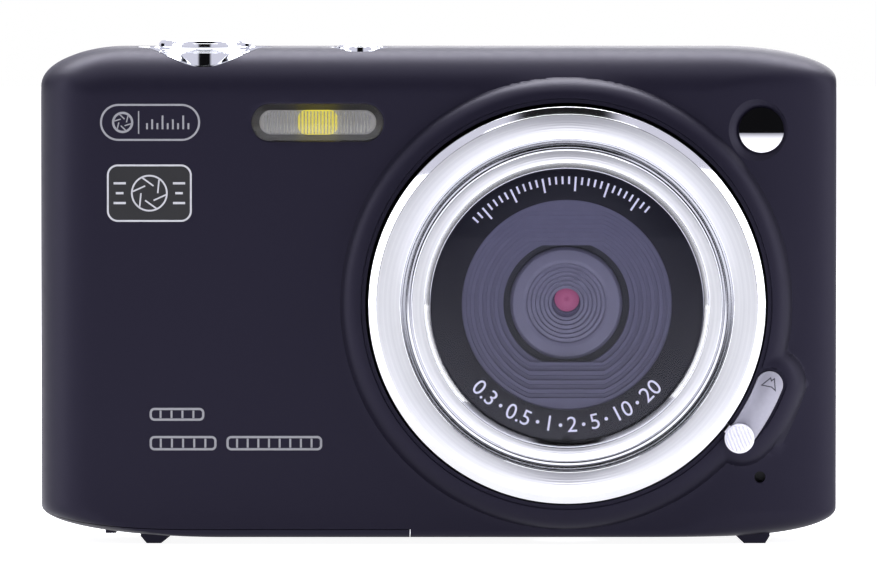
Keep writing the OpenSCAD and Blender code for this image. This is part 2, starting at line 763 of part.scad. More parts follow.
front_shell();
rear_cover();
mid_frame();
battery_door();
battery_door_pin();
tripod_socket();
strap_lug();
case_screws();
board_screws();
lens_ring_outer();
lens_ring_inner();
lens_window();
lens_mask();
lens_hood();
lens_barrel();
front_element();
rear_element();
lens_holder();
ir_filter();
image_sensor();
sensor_board();
macro_strip();
macro_knob();
macro_cam();
flash_window();
flash_reflector();
flash_led();
flash_board();
selfie_mirror();
microphone();
shutter_bezel();
shutter_button();
power_bezel();
power_button();
top_board();
tact_switches();
screen_window();
screen_panel();
key_board();
key_domes();
zoom_wide_key();
zoom_tele_key();
mode_key();
menu_key();
playback_key();
nav_up_key();
nav_down_key();
nav_left_key();
nav_right_key();
ok_key();
status_lamp();
main_board();
main_chips();
speaker();
battery();
battery_contacts();
card_socket();
memory_card();
usb_socket();
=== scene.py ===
"""Compact digital camera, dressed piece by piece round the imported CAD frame.

All sizes are in millimetres until a mesh is made; the object's own axes are +X right, +Y back, +Z up.
"""
import json
import math
import bmesh
import bpy
import numpy as np
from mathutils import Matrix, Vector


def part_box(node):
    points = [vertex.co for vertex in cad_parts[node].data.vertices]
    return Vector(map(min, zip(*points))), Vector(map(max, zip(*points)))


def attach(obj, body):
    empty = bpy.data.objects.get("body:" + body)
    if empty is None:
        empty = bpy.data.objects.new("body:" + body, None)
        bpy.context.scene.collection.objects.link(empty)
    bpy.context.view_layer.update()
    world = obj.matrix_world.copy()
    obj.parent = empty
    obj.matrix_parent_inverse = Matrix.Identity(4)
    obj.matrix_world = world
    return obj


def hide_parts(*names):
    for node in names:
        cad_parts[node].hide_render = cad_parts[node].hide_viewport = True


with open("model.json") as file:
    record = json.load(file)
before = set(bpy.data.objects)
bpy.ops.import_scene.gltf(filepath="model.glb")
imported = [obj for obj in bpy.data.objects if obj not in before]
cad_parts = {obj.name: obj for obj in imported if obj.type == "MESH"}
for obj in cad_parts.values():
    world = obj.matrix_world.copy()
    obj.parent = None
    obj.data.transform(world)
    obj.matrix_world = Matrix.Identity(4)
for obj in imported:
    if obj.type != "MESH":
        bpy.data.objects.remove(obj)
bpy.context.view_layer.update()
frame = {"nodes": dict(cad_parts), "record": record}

# ---- Stage: paper floor, white room, softboxes and camera ----------------------------------------
# A white paper floor whose glow fades towards its front edge, in a white room with five softboxes:
# one each side, one overhead, one high in front and one behind. The front of the room and a flag on
# each side are dark, which gives bright metal its contrast.
MM = 0.001


def linear(code):
    """RGBA in linear light from an sRGB hex code.

    Each part below 0.04045 is divided by 12.92; the others become ((c + 0.055) / 1.055) ** 2.4.
    """
    parts = [int(code[i:i + 2], 16) / 255 for i in (1, 3, 5)]
    return tuple(c / 12.92 if c < 0.04045 else ((c + 0.055) / 1.055) ** 2.4 for c in parts) + (1.0,)


def add(tree, kind, sets=None, links=None, **props):
    """Adds one shader node: props are its own settings, sets its fixed inputs, links its linked inputs."""
    n = tree.nodes.new(kind)
    for key, value in props.items():
        setattr(n, key, value)
    for key, value in (sets or {}).items():
        n.inputs[key].default_value = value
    for key, socket in (links or {}).items():
        tree.links.new(socket, n.inputs[key])
    return n


def surface(name, colour, **values):
    """A new material with one Principled BSDF: base colour from a hex, other sockets from values."""
    mat = bpy.data.materials.new(name)
    mat.use_nodes = True
    tree = mat.node_tree
    tree.nodes.clear()
    sets = {"Base Color": linear(colour)}
    sets.update({key.replace("_", " "): value for key, value in values.items()})
    shader = add(tree, "ShaderNodeBsdfPrincipled", sets)
    add(tree, "ShaderNodeOutputMaterial", links={"Surface": shader.outputs[0]})
    return mat, tree, shader


def mesh_of(name, points, faces, mat, angle=35):
    """A mesh object from millimetre points and faces, welded, turned outwards, sharp above an angle."""
    mesh = bpy.data.meshes.new(name)
    mesh.from_pydata(np.asarray(points, float) * MM, [], faces)
    bm = bmesh.new()
    bm.from_mesh(mesh)
    bmesh.ops.remove_doubles(bm, verts=bm.verts, dist=1e-7)
    bmesh.ops.dissolve_degenerate(bm, edges=bm.edges, dist=1e-7)
    bmesh.ops.recalc_face_normals(bm, faces=bm.faces)
    bm.to_mesh(mesh)
    bm.free()
    mesh.polygons.foreach_set("use_smooth", np.ones(len(mesh.polygons), bool))
    mesh.set_sharp_from_angle(angle=math.radians(angle))
    obj = bpy.data.objects.new(name, mesh)
    bpy.context.scene.collection.objects.link(obj)
    obj.data.materials.append(mat)
    return obj


def grid_faces(rows, cols, wrap_rows=False, wrap_cols=False):
    """Quads between neighbours of a rows by cols grid, closed round either way if asked."""
    r = np.arange(rows if wrap_rows else rows - 1)
    c = np.arange(cols if wrap_cols else cols - 1)
    r, c = np.meshgrid(r, c, indexing="ij")
    r2, c2 = (r + 1) % rows, (c + 1) % cols
    quads = np.stack([r * cols + c, r * cols + c2, r2 * cols + c2, r2 * cols + c], -1)
    return quads.reshape(-1, 4).tolist()


bpy.context.scene.view_settings.view_transform = "Standard"
PAPER_GLOW = 0.92
white_paper, paper_tree, paper = surface("seamless_paper", "#a2a2a8", Roughness=0.9,
                                         Emission_Strength=PAPER_GLOW, Emission_Color=linear("#ffffff"))
# Paper has a faint cloudy fibre, some 12 mm across, that shows only in its roughness
fibre = add(paper_tree, "ShaderNodeTexNoise", {"Scale": 80.0},
            {"Vector": add(paper_tree, "ShaderNodeTexCoord").outputs["Object"]})
paper_tree.links.new(add(paper_tree, "ShaderNodeMapRange", {"To Min": 0.85, "To Max": 0.95},
                         {"Value": fibre.outputs["Fac"]}).outputs[0], paper.inputs["Roughness"])
# The light on the paper dies away towards its front edge
depth_of = add(paper_tree, "ShaderNodeSeparateXYZ", None,
               {0: add(paper_tree, "ShaderNodeTexCoord").outputs["Object"]})
fade = add(paper_tree, "ShaderNodeMapRange",
           {"From Min": -1.25, "From Max": -0.3, "To Min": 0.0, "To Max": PAPER_GLOW},
           {"Value": depth_of.outputs["Y"]}, interpolation_type="SMOOTHSTEP")
paper_tree.links.new(fade.outputs[0], paper.inputs["Emission Strength"])
# Seen from below the paper is clear, so that the underside can be looked at
see_through = add(paper_tree, "ShaderNodeBsdfTransparent")
one_sided = add(paper_tree, "ShaderNodeMixShader", None,
                {0: add(paper_tree, "ShaderNodeNewGeometry").outputs["Backfacing"], 1: paper.outputs[0],
                 2: see_through.outputs[0]})
paper_out = next(n for n in paper_tree.nodes if n.type == "OUTPUT_MATERIAL")
paper_tree.links.new(one_sided.outputs[0], paper_out.inputs["Surface"])
FLOOR_STEPS, FLOOR_Z = 14, -0.02
fx, fy = np.meshgrid(np.linspace(-2600, 2600, FLOOR_STEPS), np.linspace(-1250, 3400, FLOOR_STEPS),
                     indexing="ij")
floor = mesh_of("floor", np.stack([fx.ravel(), fy.ravel(), np.full(fx.size, FLOOR_Z)], -1),
                grid_faces(FLOOR_STEPS, FLOOR_STEPS), white_paper)
if floor.data.polygons[0].normal.z < 0:
    floor.data.flip_normals()

world = bpy.data.worlds.new("studio")
bpy.context.scene.world = world
world.use_nodes = True
sky = world.node_tree
sky.nodes.clear()
# The room is white all round but for a dark band in front and overhead, where the photographer stands,
# and a dark flag behind the object on each side, which draws the edges of bright metal
heading = add(sky, "ShaderNodeSeparateXYZ", None, {0: add(sky, "ShaderNodeTexCoord").outputs["Generated"]})
sideways = add(sky, "ShaderNodeMath", None, {0: heading.outputs["X"]}, operation="ABSOLUTE")
band = add(sky, "ShaderNodeMapRange", {"From Min": 0.2, "From Max": 0.32, "To Min": 1.0, "To Max": 0.0},
           {"Value": sideways.outputs[0]}, interpolation_type="SMOOTHSTEP")
front = add(sky, "ShaderNodeMapRange", {"From Min": 0.15, "From Max": -0.1}, {"Value": heading.outputs["Y"]},
            interpolation_type="SMOOTHSTEP")
dark = add(sky, "ShaderNodeMath", None, {0: band.outputs[0], 1: front.outputs[0]}, operation="MULTIPLY")
flag = add(sky, "ShaderNodeMath", {1: 0.68, 2: 0.14}, {0: heading.outputs["Y"]}, operation="COMPARE")
level = add(sky, "ShaderNodeMath", {1: 0.08, 2: 0.26}, {0: heading.outputs["Z"]}, operation="COMPARE")
flags = add(sky, "ShaderNodeMath", None, {0: flag.outputs[0], 1: level.outputs[0]}, operation="MULTIPLY")
darkest = add(sky, "ShaderNodeMath", None, {0: dark.outputs[0], 1: flags.outputs[0]}, operation="MAXIMUM")
glow = add(sky, "ShaderNodeMapRange", {"To Min": 0.88, "To Max": 0.006}, {"Value": darkest.outputs[0]})
room = add(sky, "ShaderNodeBackground", {"Color": linear("#f2f1ff")}, {"Strength": glow.outputs[0]})
backdrop = add(sky, "ShaderNodeBackground", {"Color": linear("#ffffff"), "Strength": 1.0})
seen = add(sky, "ShaderNodeMixShader", None, {0: add(sky, "ShaderNodeLightPath").outputs["Is Camera Ray"],
                                              1: room.outputs[0], 2: backdrop.outputs[0]})
add(sky, "ShaderNodeOutputWorld", links={"Surface": seen.outputs[0]})


def softbox(name, place, aim, size, power):
    """A rectangular area light at place, facing aim; both in millimetres."""
    light = bpy.data.lights.new(name, "AREA")
    light.shape = "RECTANGLE"
    light.size, light.size_y = size[0] * MM, size[1] * MM
    light.energy = power
    obj = bpy.data.objects.new(name, light)
    bpy.context.scene.collection.objects.link(obj)
    place, aim = np.array(place, float), np.array(aim, float)
    away = (place - aim) / np.linalg.norm(place - aim)
    obj.rotation_euler = (math.acos(away[2]), 0, math.atan2(away[0], -away[1]))
    obj.location = place * MM
    obj.visible_camera = False
    return obj


for side, name in ((-1, "softbox_left"), (1, "softbox_right")):
    softbox(name, (side * 700, -190, 200), (0, 0, 40), (360, 760), 2.4)
softbox("softbox_top", (0, 250, 700), (0, 0, 30), (1000, 420), 16.0)
softbox("softbox_high", (0, -420, 760), (0, 0, 30), (700, 260), 1.9)
softbox("softbox_rear", (250, 900, 420), (0, 0, 30), (700, 500), 3.0)

cam_data = bpy.data.cameras.new("view")
cam = bpy.data.objects.new("view", cam_data)
bpy.context.scene.collection.objects.link(cam)
bpy.context.scene.camera = cam
CAM_FAR, CAM_RISE, FRAME_WIDTH, SENSOR = 1300.0, 2.2, 115.3, 36.0
AIM_Y, AIM_Z = -8.5, 33.3
cam_data.sensor_width = SENSOR
cam_data.lens = SENSOR * CAM_FAR / FRAME_WIDTH
cam_data.clip_end = 20
rise = math.radians(CAM_RISE)
cam.location = (0.0, (AIM_Y - CAM_FAR * math.cos(rise)) * MM, (AIM_Z + CAM_FAR * math.sin(rise)) * MM)
cam.rotation_euler = (math.pi / 2 - rise, 0, 0)

# ---- Front shell --------------------------------------------------------------------------------
# The front half of the case, injection-moulded ABS sprayed with matt soft-touch paint. A raised
# collar surrounds the lens and widens round the macro lever; the top and sides roll off softly.


def in_mm(box):
    """Low and high corner of a CAD box, in millimetres."""
    return [np.array(corner) / MM for corner in box]


def centre_of(box, a, b):
    """Centre of a box in the plane of its axes a and b."""
    low, high = box
    return ((low[a] + high[a]) / 2, (low[b] + high[b]) / 2)


cover_low, cover_high = in_mm(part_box("rear_cover"))
shell_low, shell_high = in_mm(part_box("front_shell"))
lens_low, lens_high = in_mm(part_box("lens_window"))
LEFT, RIGHT = shell_low[0], shell_high[0]
BASE, TOP = cover_low[2], cover_high[2]
REAR = cover_high[1]
SPLIT = shell_high[1]
COLLAR = shell_low[1]
COLLAR_RISE = 1.9
FRONT = COLLAR + COLLAR_RISE
LENS_X, LENS_Z = centre_of((lens_low, lens_high), 0, 2)
WALL = 1.6
# Corner half-axes across and up: top left, top right, bottom left, bottom right
CORNERS = {"tl": (11, 5), "tr": (15, 4.2), "bl": (20, 3.9), "br": (14.5, 3.7)}
# Edge roll-off to the front: how far in, how deep
ROLL = {"left": (7, 7), "right": (18, 5), "top": (6, 6), "bottom": (1, 1)}


def corner_drop(distance, across, up):
    """How far a quarter-ellipse corner falls back: up * (1 - sqrt(1 - (1 - distance / across) ** 2))."""
    u = np.clip(1 - distance / across, 0, 1)
    return up * (1 - np.sqrt(1 - u ** 2))


def edge_gaps(x, z):
    """Distances in from the left, right, top and bottom of the case outline."""
    top = TOP - z - corner_drop(x - LEFT, *CORNERS["tl"]) - corner_drop(RIGHT - x, *CORNERS["tr"])
    low = z - BASE - corner_drop(x - LEFT, *CORNERS["bl"]) - corner_drop(RIGHT - x, *CORNERS["br"])
    left = (x - LEFT - corner_drop(TOP - z, *CORNERS["tl"][::-1])
            - corner_drop(z - BASE, *CORNERS["bl"][::-1]))
    right = (RIGHT - x - corner_drop(TOP - z, *CORNERS["tr"][::-1])
             - corner_drop(z - BASE, *CORNERS["br"][::-1]))
    return left, right, top, low


def roll_depth(x, z):
    """Depth of the case front behind its flat face: the four edge roll-offs, joined by a power mean."""
    total = 0.0
    for gap, (across, deep) in zip(edge_gaps(x, z), (ROLL[k] for k in ("left", "right", "top", "bottom"))):
        total = total + corner_drop(np.maximum(gap, 0), across, deep) ** 2.5
    return total ** 0.4


LEVER_R = 28.7
LEVER_LOW, LEVER_HIGH = math.radians(-37.8), math.radians(-21.7)


def lever_distance(x, z):
    """Distance from the lever's path, an arc about the lens axis with its two end points."""
    dx, dz = x - LENS_X, z - LENS_Z
    angle = np.clip(np.arctan2(dz, dx), LEVER_LOW, LEVER_HIGH)
    return np.hypot(dx - LEVER_R * np.cos(angle), dz - LEVER_R * np.sin(angle))


def smooth(a, b, v):
    """Smooth step from 0 at a to 1 at b."""
    t = np.clip((v - a) / (b - a), 0, 1)
    return t * t * (3 - 2 * t)


def soft_min(a, b, k):
    """Smaller of two values, rounded over k where they cross."""
    h = np.clip(0.5 + 0.5 * (b - a) / k, 0, 1)
    return b * (1 - h) + a * h - k * h * (1 - h)


LAND_R = 27.1


def collar_height(x, z):
    """Collar above the face: flat to a crease round lens and lever, then a roll down to the face."""
    dx, dz = x - LENS_X, z - LENS_Z
    r, angle = np.hypot(dx, dz), np.degrees(np.arctan2(dz, dx))
    fade = smooth(-28, -50, angle) * (angle < 0)
    s = soft_min(r - LAND_R, lever_distance(x, z) - 2.3 + 1.5 * fade, 0.5)
    u = np.clip(s / 2.6, 0, 1)
    body = (1 - 0.12 * u - 0.88 * u ** 2.6) ** 0.8
    foot = 0.06 * np.exp(-((s - 2.4) / 0.7) ** 2)
    land = 0.2 * smooth(-0.03, -0.2, s)
    return COLLAR_RISE * body + foot - land


def front_height(x, z):
    """Y of the case front: the rolled face, less the collar's rise."""
    return FRONT + roll_depth(x, z) - collar_height(x, z)


def outline_path(count, draw_in=0.0):
    """Points round the case outline, drawn in by a distance: four quarter-ellipses and even steps between."""
    t = np.linspace(0, math.pi / 2, count)
    parts = []
    for key, sx, sz, start in (("tr", 1, 1, 0), ("tl", -1, 1, 1), ("bl", -1, -1, 2), ("br", 1, -1, 3)):
        a, b = CORNERS[key]
        side, end = (RIGHT if sx > 0 else LEFT), (TOP if sz > 0 else BASE)
        angle = t + start * math.pi / 2
        cx, cz = side - sx * a, end - sz * b
        parts.append(np.stack([cx + (a - draw_in) * np.cos(angle), cz + (b - draw_in) * np.sin(angle)], -1))
    steps = np.linspace(0, 1, count)[1:-1, None]
    straights = [p[-1] * (1 - steps) + q[0] * steps for p, q in zip(parts, parts[1:] + parts[:1])]
    return np.concatenate([piece for pair in zip(parts, straights) for piece in pair])


def ray_reach(phi, centre, draw_in=0.0):
    """Distance from centre to the outline along each angle phi, by interpolation round the path."""
    path = outline_path(400, draw_in) - np.array(centre)
    angle = np.arctan2(path[:, 1], path[:, 0])
    order = np.argsort(angle)
    return np.interp(phi, angle[order], np.hypot(path[:, 0], path[:, 1])[order], period=2 * math.pi)


def ray_angles(count, centre):
    """Angles round centre, half by equal turn and half by equal outline length, so far corners stay fine."""
    path = outline_path(400) - np.array(centre)
    path = np.concatenate([path, path[:1]])
    run = np.concatenate([[0], np.cumsum(np.hypot(*np.diff(path, axis=0).T))])
    turn = np.unwrap(np.arctan2(path[:, 1], path[:, 0]))
    u = np.linspace(0, 1, count, endpoint=False)
    return 0.5 * np.interp(u, run / run[-1], turn) + 0.5 * (turn[0] + 2 * math.pi * u)


HOLE_R, BORE_BACK = 26.45, -5.4
centre = (LENS_X, LENS_Z)
phi = ray_angles(840, centre)
reach = ray_reach(phi, centre)
near = np.concatenate([np.linspace(HOLE_R, 26.85, 4), np.linspace(26.93, 27.25, 6),
                       np.linspace(27.38, 33.2, 40)])
near_r = np.minimum(near[:, None], HOLE_R + (reach[None, :] - HOLE_R) * (near[:, None] - HOLE_R) / 8.5)
ease = 1 - (1 - np.linspace(0, 1, 28)[1:]) ** 2.2
far_r = near_r[-1] + (reach - near_r[-1]) * ease[:, None]
ring_r = np.concatenate([near_r, far_r])
ring_x = LENS_X + ring_r * np.cos(phi)
ring_z = LENS_Z + ring_r * np.sin(phi)
ring_y = front_height(ring_x, ring_z)
edge_y = ring_y[-1]
loops = [np.stack([ring_x[0], np.full_like(phi, BORE_BACK), ring_z[0]], -1)]
loops += [np.stack([ring_x[k], ring_y[k], ring_z[k]], -1) for k in range(len(ring_r))]
for part in (0.3, 0.7, 1.0):
    side_y = edge_y + (SPLIT - 0.15 - edge_y) * part
    loops.append(np.stack([ring_x[-1], side_y, ring_z[-1]], -1))
for draw_in, y in ((0.12, SPLIT - 0.02), (WALL, SPLIT - 0.02), (WALL + 0.4, 0.0)):
    inner = ray_reach(phi, centre, draw_in)
    loops.append(np.stack([LENS_X + inner * np.cos(phi), np.full_like(phi, y),
                           LENS_Z + inner * np.sin(phi)], -1))
inner = ray_reach(phi, centre, WALL + 0.5)
for part, y in ((0.995, -3.0), (0.93, -5.0)):
    r = HOLE_R + (inner - HOLE_R) * part
    loops.append(np.stack([LENS_X + r * np.cos(phi), np.full_like(phi, y), LENS_Z + r * np.sin(phi)], -1))
loops = np.array(loops)

# Soft-touch paint: nearly black with a cool violet cast, eggshell sheen, faint spray grain
paint, tree, shader = surface("soft_touch_paint", "#0f0d19", Roughness=0.47, Specular_IOR_Level=0.26,
                              Specular_Tint=linear("#ded9ff"))
coords = add(tree, "ShaderNodeTexCoord")
grain = add(tree, "ShaderNodeTexNoise", {"Scale": 3500.0, "Detail": 3.0},
            {"Vector": coords.outputs["Object"]})
peel = add(tree, "ShaderNodeTexNoise", {"Scale": 700.0, "Detail": 1.0},
           {"Vector": coords.outputs["Object"]})
both = add(tree, "ShaderNodeMath", None, {0: grain.outputs["Fac"], 1: peel.outputs["Fac"]}, operation="ADD")
bump = add(tree, "ShaderNodeBump", {"Strength": 0.12, "Distance": 0.00003}, {"Height": both.outputs[0]})
tree.links.new(bump.outputs[0], shader.inputs["Normal"])
rough = add(tree, "ShaderNodeMapRange", {"To Min": 0.42, "To Max": 0.5}, {"Value": peel.outputs["Fac"]})
tree.links.new(rough.outputs[0], shader.inputs["Roughness"])

shell = mesh_of("front_shell_skin", loops.reshape(-1, 3), grid_faces(len(loops), len(phi), True, True),
                paint, 40)

# Openings of the shell: cut by closed forms whose mouths flare into small rounded lips


def rounded(w, h, r, n=14):
    """Outline function of a rounded rectangle: inset -> points, corners as arcs of radius r."""
    def outline(inset=0.0):
        t = np.linspace(0, math.pi / 2, n)
        a, b, c = w / 2 - inset, h / 2 - inset, max(r - inset, 1e-3)
        corners = [(a - c, b - c, 0), (-a + c, b - c, 1), (-a + c, -b + c, 2), (a - c, -b + c, 3)]
        return np.concatenate([np.stack([cx + c * np.cos(t + k * math.pi / 2),
                                         cz + c * np.sin(t + k * math.pi / 2)], -1) for cx, cz, k in corners])
    return outline


def circle(r, n=72):
    """Outline function of a circle: inset -> points."""
    def outline(inset=0.0):
        t = np.linspace(0, 2 * math.pi, n, endpoint=False)
        return (r - inset) * np.stack([np.cos(t), np.sin(t)], -1)
    return outline


def arc_pill(half, n=26):
    """Outline function of the lever's arc pill: two arcs about the lens axis and two half-round ends."""
    def outline(inset=0.0):
        h = half - inset
        t = np.linspace(0, math.pi, n)
        a = np.linspace(LEVER_LOW, LEVER_HIGH, n)[1:-1]
        outer = (LEVER_R + h) * np.stack([np.cos(a), np.sin(a)], -1)
        inner = (LEVER_R - h) * np.stack([np.cos(a), np.sin(a)], -1)[::-1]
        top = LEVER_R * np.array([math.cos(LEVER_HIGH), math.sin(LEVER_HIGH)])
        low = LEVER_R * np.array([math.cos(LEVER_LOW), math.sin(LEVER_LOW)])
        cap_top = top + h * np.stack([np.cos(LEVER_HIGH + t), np.sin(LEVER_HIGH + t)], -1)
        cap_low = low + h * np.stack([np.cos(LEVER_LOW + math.pi + t), np.sin(LEVER_LOW + math.pi + t)], -1)
        return np.concatenate([outer, cap_top, inner, cap_low])
    return outline


def stacked(name, outline, levels, place, facing, mat, angle=35):
    """A solid of one outline drawn in by inset at each level, closed at both ends.

    levels are (inset, height) pairs; facing is the axis that height runs along, and place the
    centre of the outline in the plane across it.
    """
    rings = []
    for inset, height in levels:
        a, b = (outline(inset) + np.array(place)).T
        c = np.full_like(a, height)
        rings.append(np.stack({"x": (c, a, b), "y": (a, c, b), "z": (a, b, c)}[facing], -1))
    n = len(rings[0])
    faces = grid_faces(len(rings), n, False, True)
    faces.append(list(range(n))[::-1])
    faces.append([(len(rings) - 1) * n + k for k in range(n)])
    return mesh_of(name, np.concatenate(rings), faces, mat, angle)


def lip(mouth, size, floor):
    """Cutter levels for a hole facing -Y: a quarter-round flare of the given size, then a straight wall."""
    t = np.linspace(0, math.pi / 2, 6)
    flare = [(-size * (1 - math.sin(a)), mouth + size * (1 - math.cos(a))) for a in t]
    return [(-size, mouth - 1.5)] + flare + [(0.0, floor)]


flash_low, flash_high = in_mm(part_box("flash_window"))
FLASH = centre_of((flash_low, flash_high), 0, 2)
FLASH_SIZE = (flash_high[0] - flash_low[0], flash_high[2] - flash_low[2])
mirror_low, mirror_high = in_mm(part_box("selfie_mirror"))
MIRROR = centre_of((mirror_low, mirror_high), 0, 2)
MIC = centre_of(in_mm(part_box("microphone")), 0, 2)
SHUTTER = centre_of(in_mm(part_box("shutter_bezel")), 0, 1)
POWER = centre_of(in_mm(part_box("power_bezel")), 0, 1)
usb_low, usb_high = in_mm(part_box("usb_socket"))
USB = centre_of((usb_low, usb_high), 1, 2)
lug_low, lug_high = in_mm(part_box("strap_lug"))
LUG = centre_of((lug_low, lug_high), 1, 2)
TRIPOD = centre_of(in_mm(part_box("tripod_socket")), 0, 1)
MIRROR_FACE = float(front_height(np.array(MIRROR[0]), np.array(MIRROR[1])))
SCREW_Y, SCREW_Z = 9.5, (14.0, 58.0)
GRILLE_Y, GRILLE_Z = 6.0, np.arange(36.6, 46.1, 2.2)

cutters = [
    stacked("cut_flash", rounded(FLASH_SIZE[0] + 0.1, FLASH_SIZE[1] + 0.1, FLASH_SIZE[1] / 2 + 0.05),
            lip(FRONT, 0.22, 2), FLASH, "y", paint),
    stacked("cut_mirror", circle(2.98),
            [(-1.35, MIRROR_FACE - 2), (-1.35, MIRROR_FACE - 0.25), (-1.1, MIRROR_FACE - 0.04),
             (-0.86, MIRROR_FACE + 0.16), (-0.15, MIRROR_FACE + 0.95), (0, MIRROR_FACE + 1.0),
             (0, 1.0)], MIRROR, "y", paint),
    stacked("cut_mic", circle(0.72, 40), lip(FRONT + 0.5, 0.14, 2), MIC, "y", paint),
    stacked("cut_strip", arc_pill(1.87), lip(COLLAR + 0.02, 0.12, COLLAR + 1.25), centre, "y", paint),
    stacked("cut_shutter", circle(8.97, 110), [(0, 60.8), (0, 70)], SHUTTER, "z", paint),
    stacked("cut_power", circle(4.16, 80), [(0, 62.2), (0, 70)], POWER, "z", paint),
    stacked("cut_tripod", circle(4.25), [(0, -2), (0, 3)], TRIPOD, "z", paint),
    stacked("cut_usb", rounded(3.3, 9.1, 0.6), [(0, RIGHT - 4), (0, RIGHT + 1)], USB, "x", paint),
    stacked("cut_lug", rounded(5.0, 9.0, 0.8), [(0, RIGHT - 3.4), (0, RIGHT + 1)], LUG, "x", paint),
]
for k, z in enumerate(GRILLE_Z):
    cutters.append(stacked(f"cut_grille_{k}", circle(0.5, 24), [(0, LEFT - 1), (0, LEFT + 2)],
                           (GRILLE_Y, z), "x", paint))
for side in (-1, 1):
    for z in SCREW_Z:
        ends = sorted((side * (RIGHT - 1.2), side * (RIGHT + 1)))
        cutters.append(stacked(f"cut_screw_{side}_{z:.0f}", circle(1.28, 32),
                               [(0, ends[0]), (0, ends[1])], (SCREW_Y, z), "x", paint))


def joined(name, parts):
    """One object from several: their meshes appended, the first one's kept."""
    with bpy.context.temp_override(active_object=parts[0], selected_editable_objects=parts,
                                   selected_objects=parts):
        bpy.ops.object.join()
    parts[0].name = name
    return parts[0]


def carved(target, cutter, operation="DIFFERENCE", angle=30):
    """The target's mesh after a manifold Boolean with the cutter, which is then removed."""
    mod = target.modifiers.new("cut", "BOOLEAN")
    mod.operation, mod.solver, mod.object = operation, "MANIFOLD", cutter
    graph = bpy.context.evaluated_depsgraph_get()
    mesh = bpy.data.meshes.new_from_object(target.evaluated_get(graph), depsgraph=graph)
    target.modifiers.clear()
    old = target.data
    target.data = mesh
    bpy.data.meshes.remove(old)
    bpy.data.objects.remove(cutter)
    mesh.set_sharp_from_angle(angle=math.radians(angle))
    return target


# The door's share of the underside: everything below a seam one millimetre above the bottom
DOOR_END, DOOR_REAR, DOOR_T = -3.8, 8.3, 1.0
DOOR_SEAM_RISE = 2.85


def door_profile(lift, end):
    """Seam outline from the front: straight along the bottom, a quarter-ellipse up at the left."""
    t = np.linspace(0, math.pi / 2, 24)
    across = CORNERS["bl"][0]
    rise_x = LEFT + across * (1 - np.sin(t))
    rise_z = BASE + DOOR_T + lift + DOOR_SEAM_RISE * (1 - np.cos(t))
    return ([(LEFT - 2, -3), (end, -3), (end, BASE + DOOR_T + lift)] + list(zip(rise_x, rise_z))
            + [(LEFT - 2, rise_z[-1])])


def slab_y(name, outline, y0, y1, mat):
    """A closed prism of an X-Z outline from y0 to y1."""
    return stacked(name, lambda inset=0.0: np.array(outline), [(0, y0), (0, y1)], (0, 0), "y", mat, 30)


shell = carved(shell, joined("cutters", cutters + [slab_y("cut_door", door_profile(0.09, DOOR_END + 0.09),
                                                          -12, DOOR_REAR + 0.1, paint)]))
SWING = 0.65
shell = carved(shell, slab_y("cut_swing", [(LEFT - 2, -3), (DOOR_END + 0.09, -3), (DOOR_END + 0.09, 2.2),
                                           (LEFT - 2, 2.2)], DOOR_REAR - 0.5, DOOR_REAR + SWING, paint))
KNUCKLES, KNUCKLE_W = (-28.8, -15.8), 5.6
PIN_Y, PIN_Z = 9.95, 2.2
notches = [slab_y(f"cut_knuckle_{k}",
                  [(x - 0.2, -2), (x + KNUCKLE_W + 0.2, -2), (x + KNUCKLE_W + 0.2, 3.6), (x - 0.2, 3.6)],
                  DOOR_REAR - 0.2, 11.4, paint)
           for k, x in enumerate(KNUCKLES)]
shell = carved(shell, joined("notches", notches))
# The right foot bar, a low trapezoid moulded with the shell
FOOT_Y = (-5.0, 7.5)
right_foot = slab_y("front_shell_foot",
                    [(40.3, 0), (43.1, 0), (43.7, 0.95), (43.7, 1.8), (39.3, 1.8), (39.3, 0.95)],
                    FOOT_Y[0], FOOT_Y[1], paint)
for piece in (shell, right_foot):
    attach(piece, "camera")
    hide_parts("front_shell")

# ---- Front prints -------------------------------------------------------------------------------
# Pad-printed marks in silver-grey ink, some hundredths of a millimetre thick: a rounded frame with
# an aperture and scale bars, a small plate with an iris, and three bars low on the grip side.


def grained(name, colour, shade, pitch, depth, spread=0.05, **values):
    """A finish with a grain of the given pitch, relief depth and roughness spread.

    Colour drifts to shade over ten pitches. Noise scale is 1 / (pitch in metres).
    """
    mat, tree, shader = surface(name, colour, **values)
    coords = add(tree, "ShaderNodeTexCoord").outputs["Object"]
    fine = add(tree, "ShaderNodeTexNoise", {"Scale": 1 / (pitch * MM), "Detail": 3.0}, {"Vector": coords})
    broad = add(tree, "ShaderNodeTexNoise", {"Scale": 0.1 / (pitch * MM)}, {"Vector": coords})
    tint = add(tree, "ShaderNodeMix", {6: linear(colour), 7: linear(shade)}, {0: broad.outputs["Fac"]},
               data_type="RGBA")
    tree.links.new(tint.outputs[2], shader.inputs["Base Color"])
    base = shader.inputs["Roughness"].default_value
    rough = add(tree, "ShaderNodeMapRange", {"To Min": base - spread, "To Max": base + spread},
                {"Value": fine.outputs["Fac"]})
    tree.links.new(rough.outputs[0], shader.inputs["Roughness"])
    relief = add(tree, "ShaderNodeBump", {"Strength": 0.5, "Distance": depth * MM},
                 {"Height": fine.outputs["Fac"]})
    tree.links.new(relief.outputs[0], shader.inputs["Normal"])
    return mat


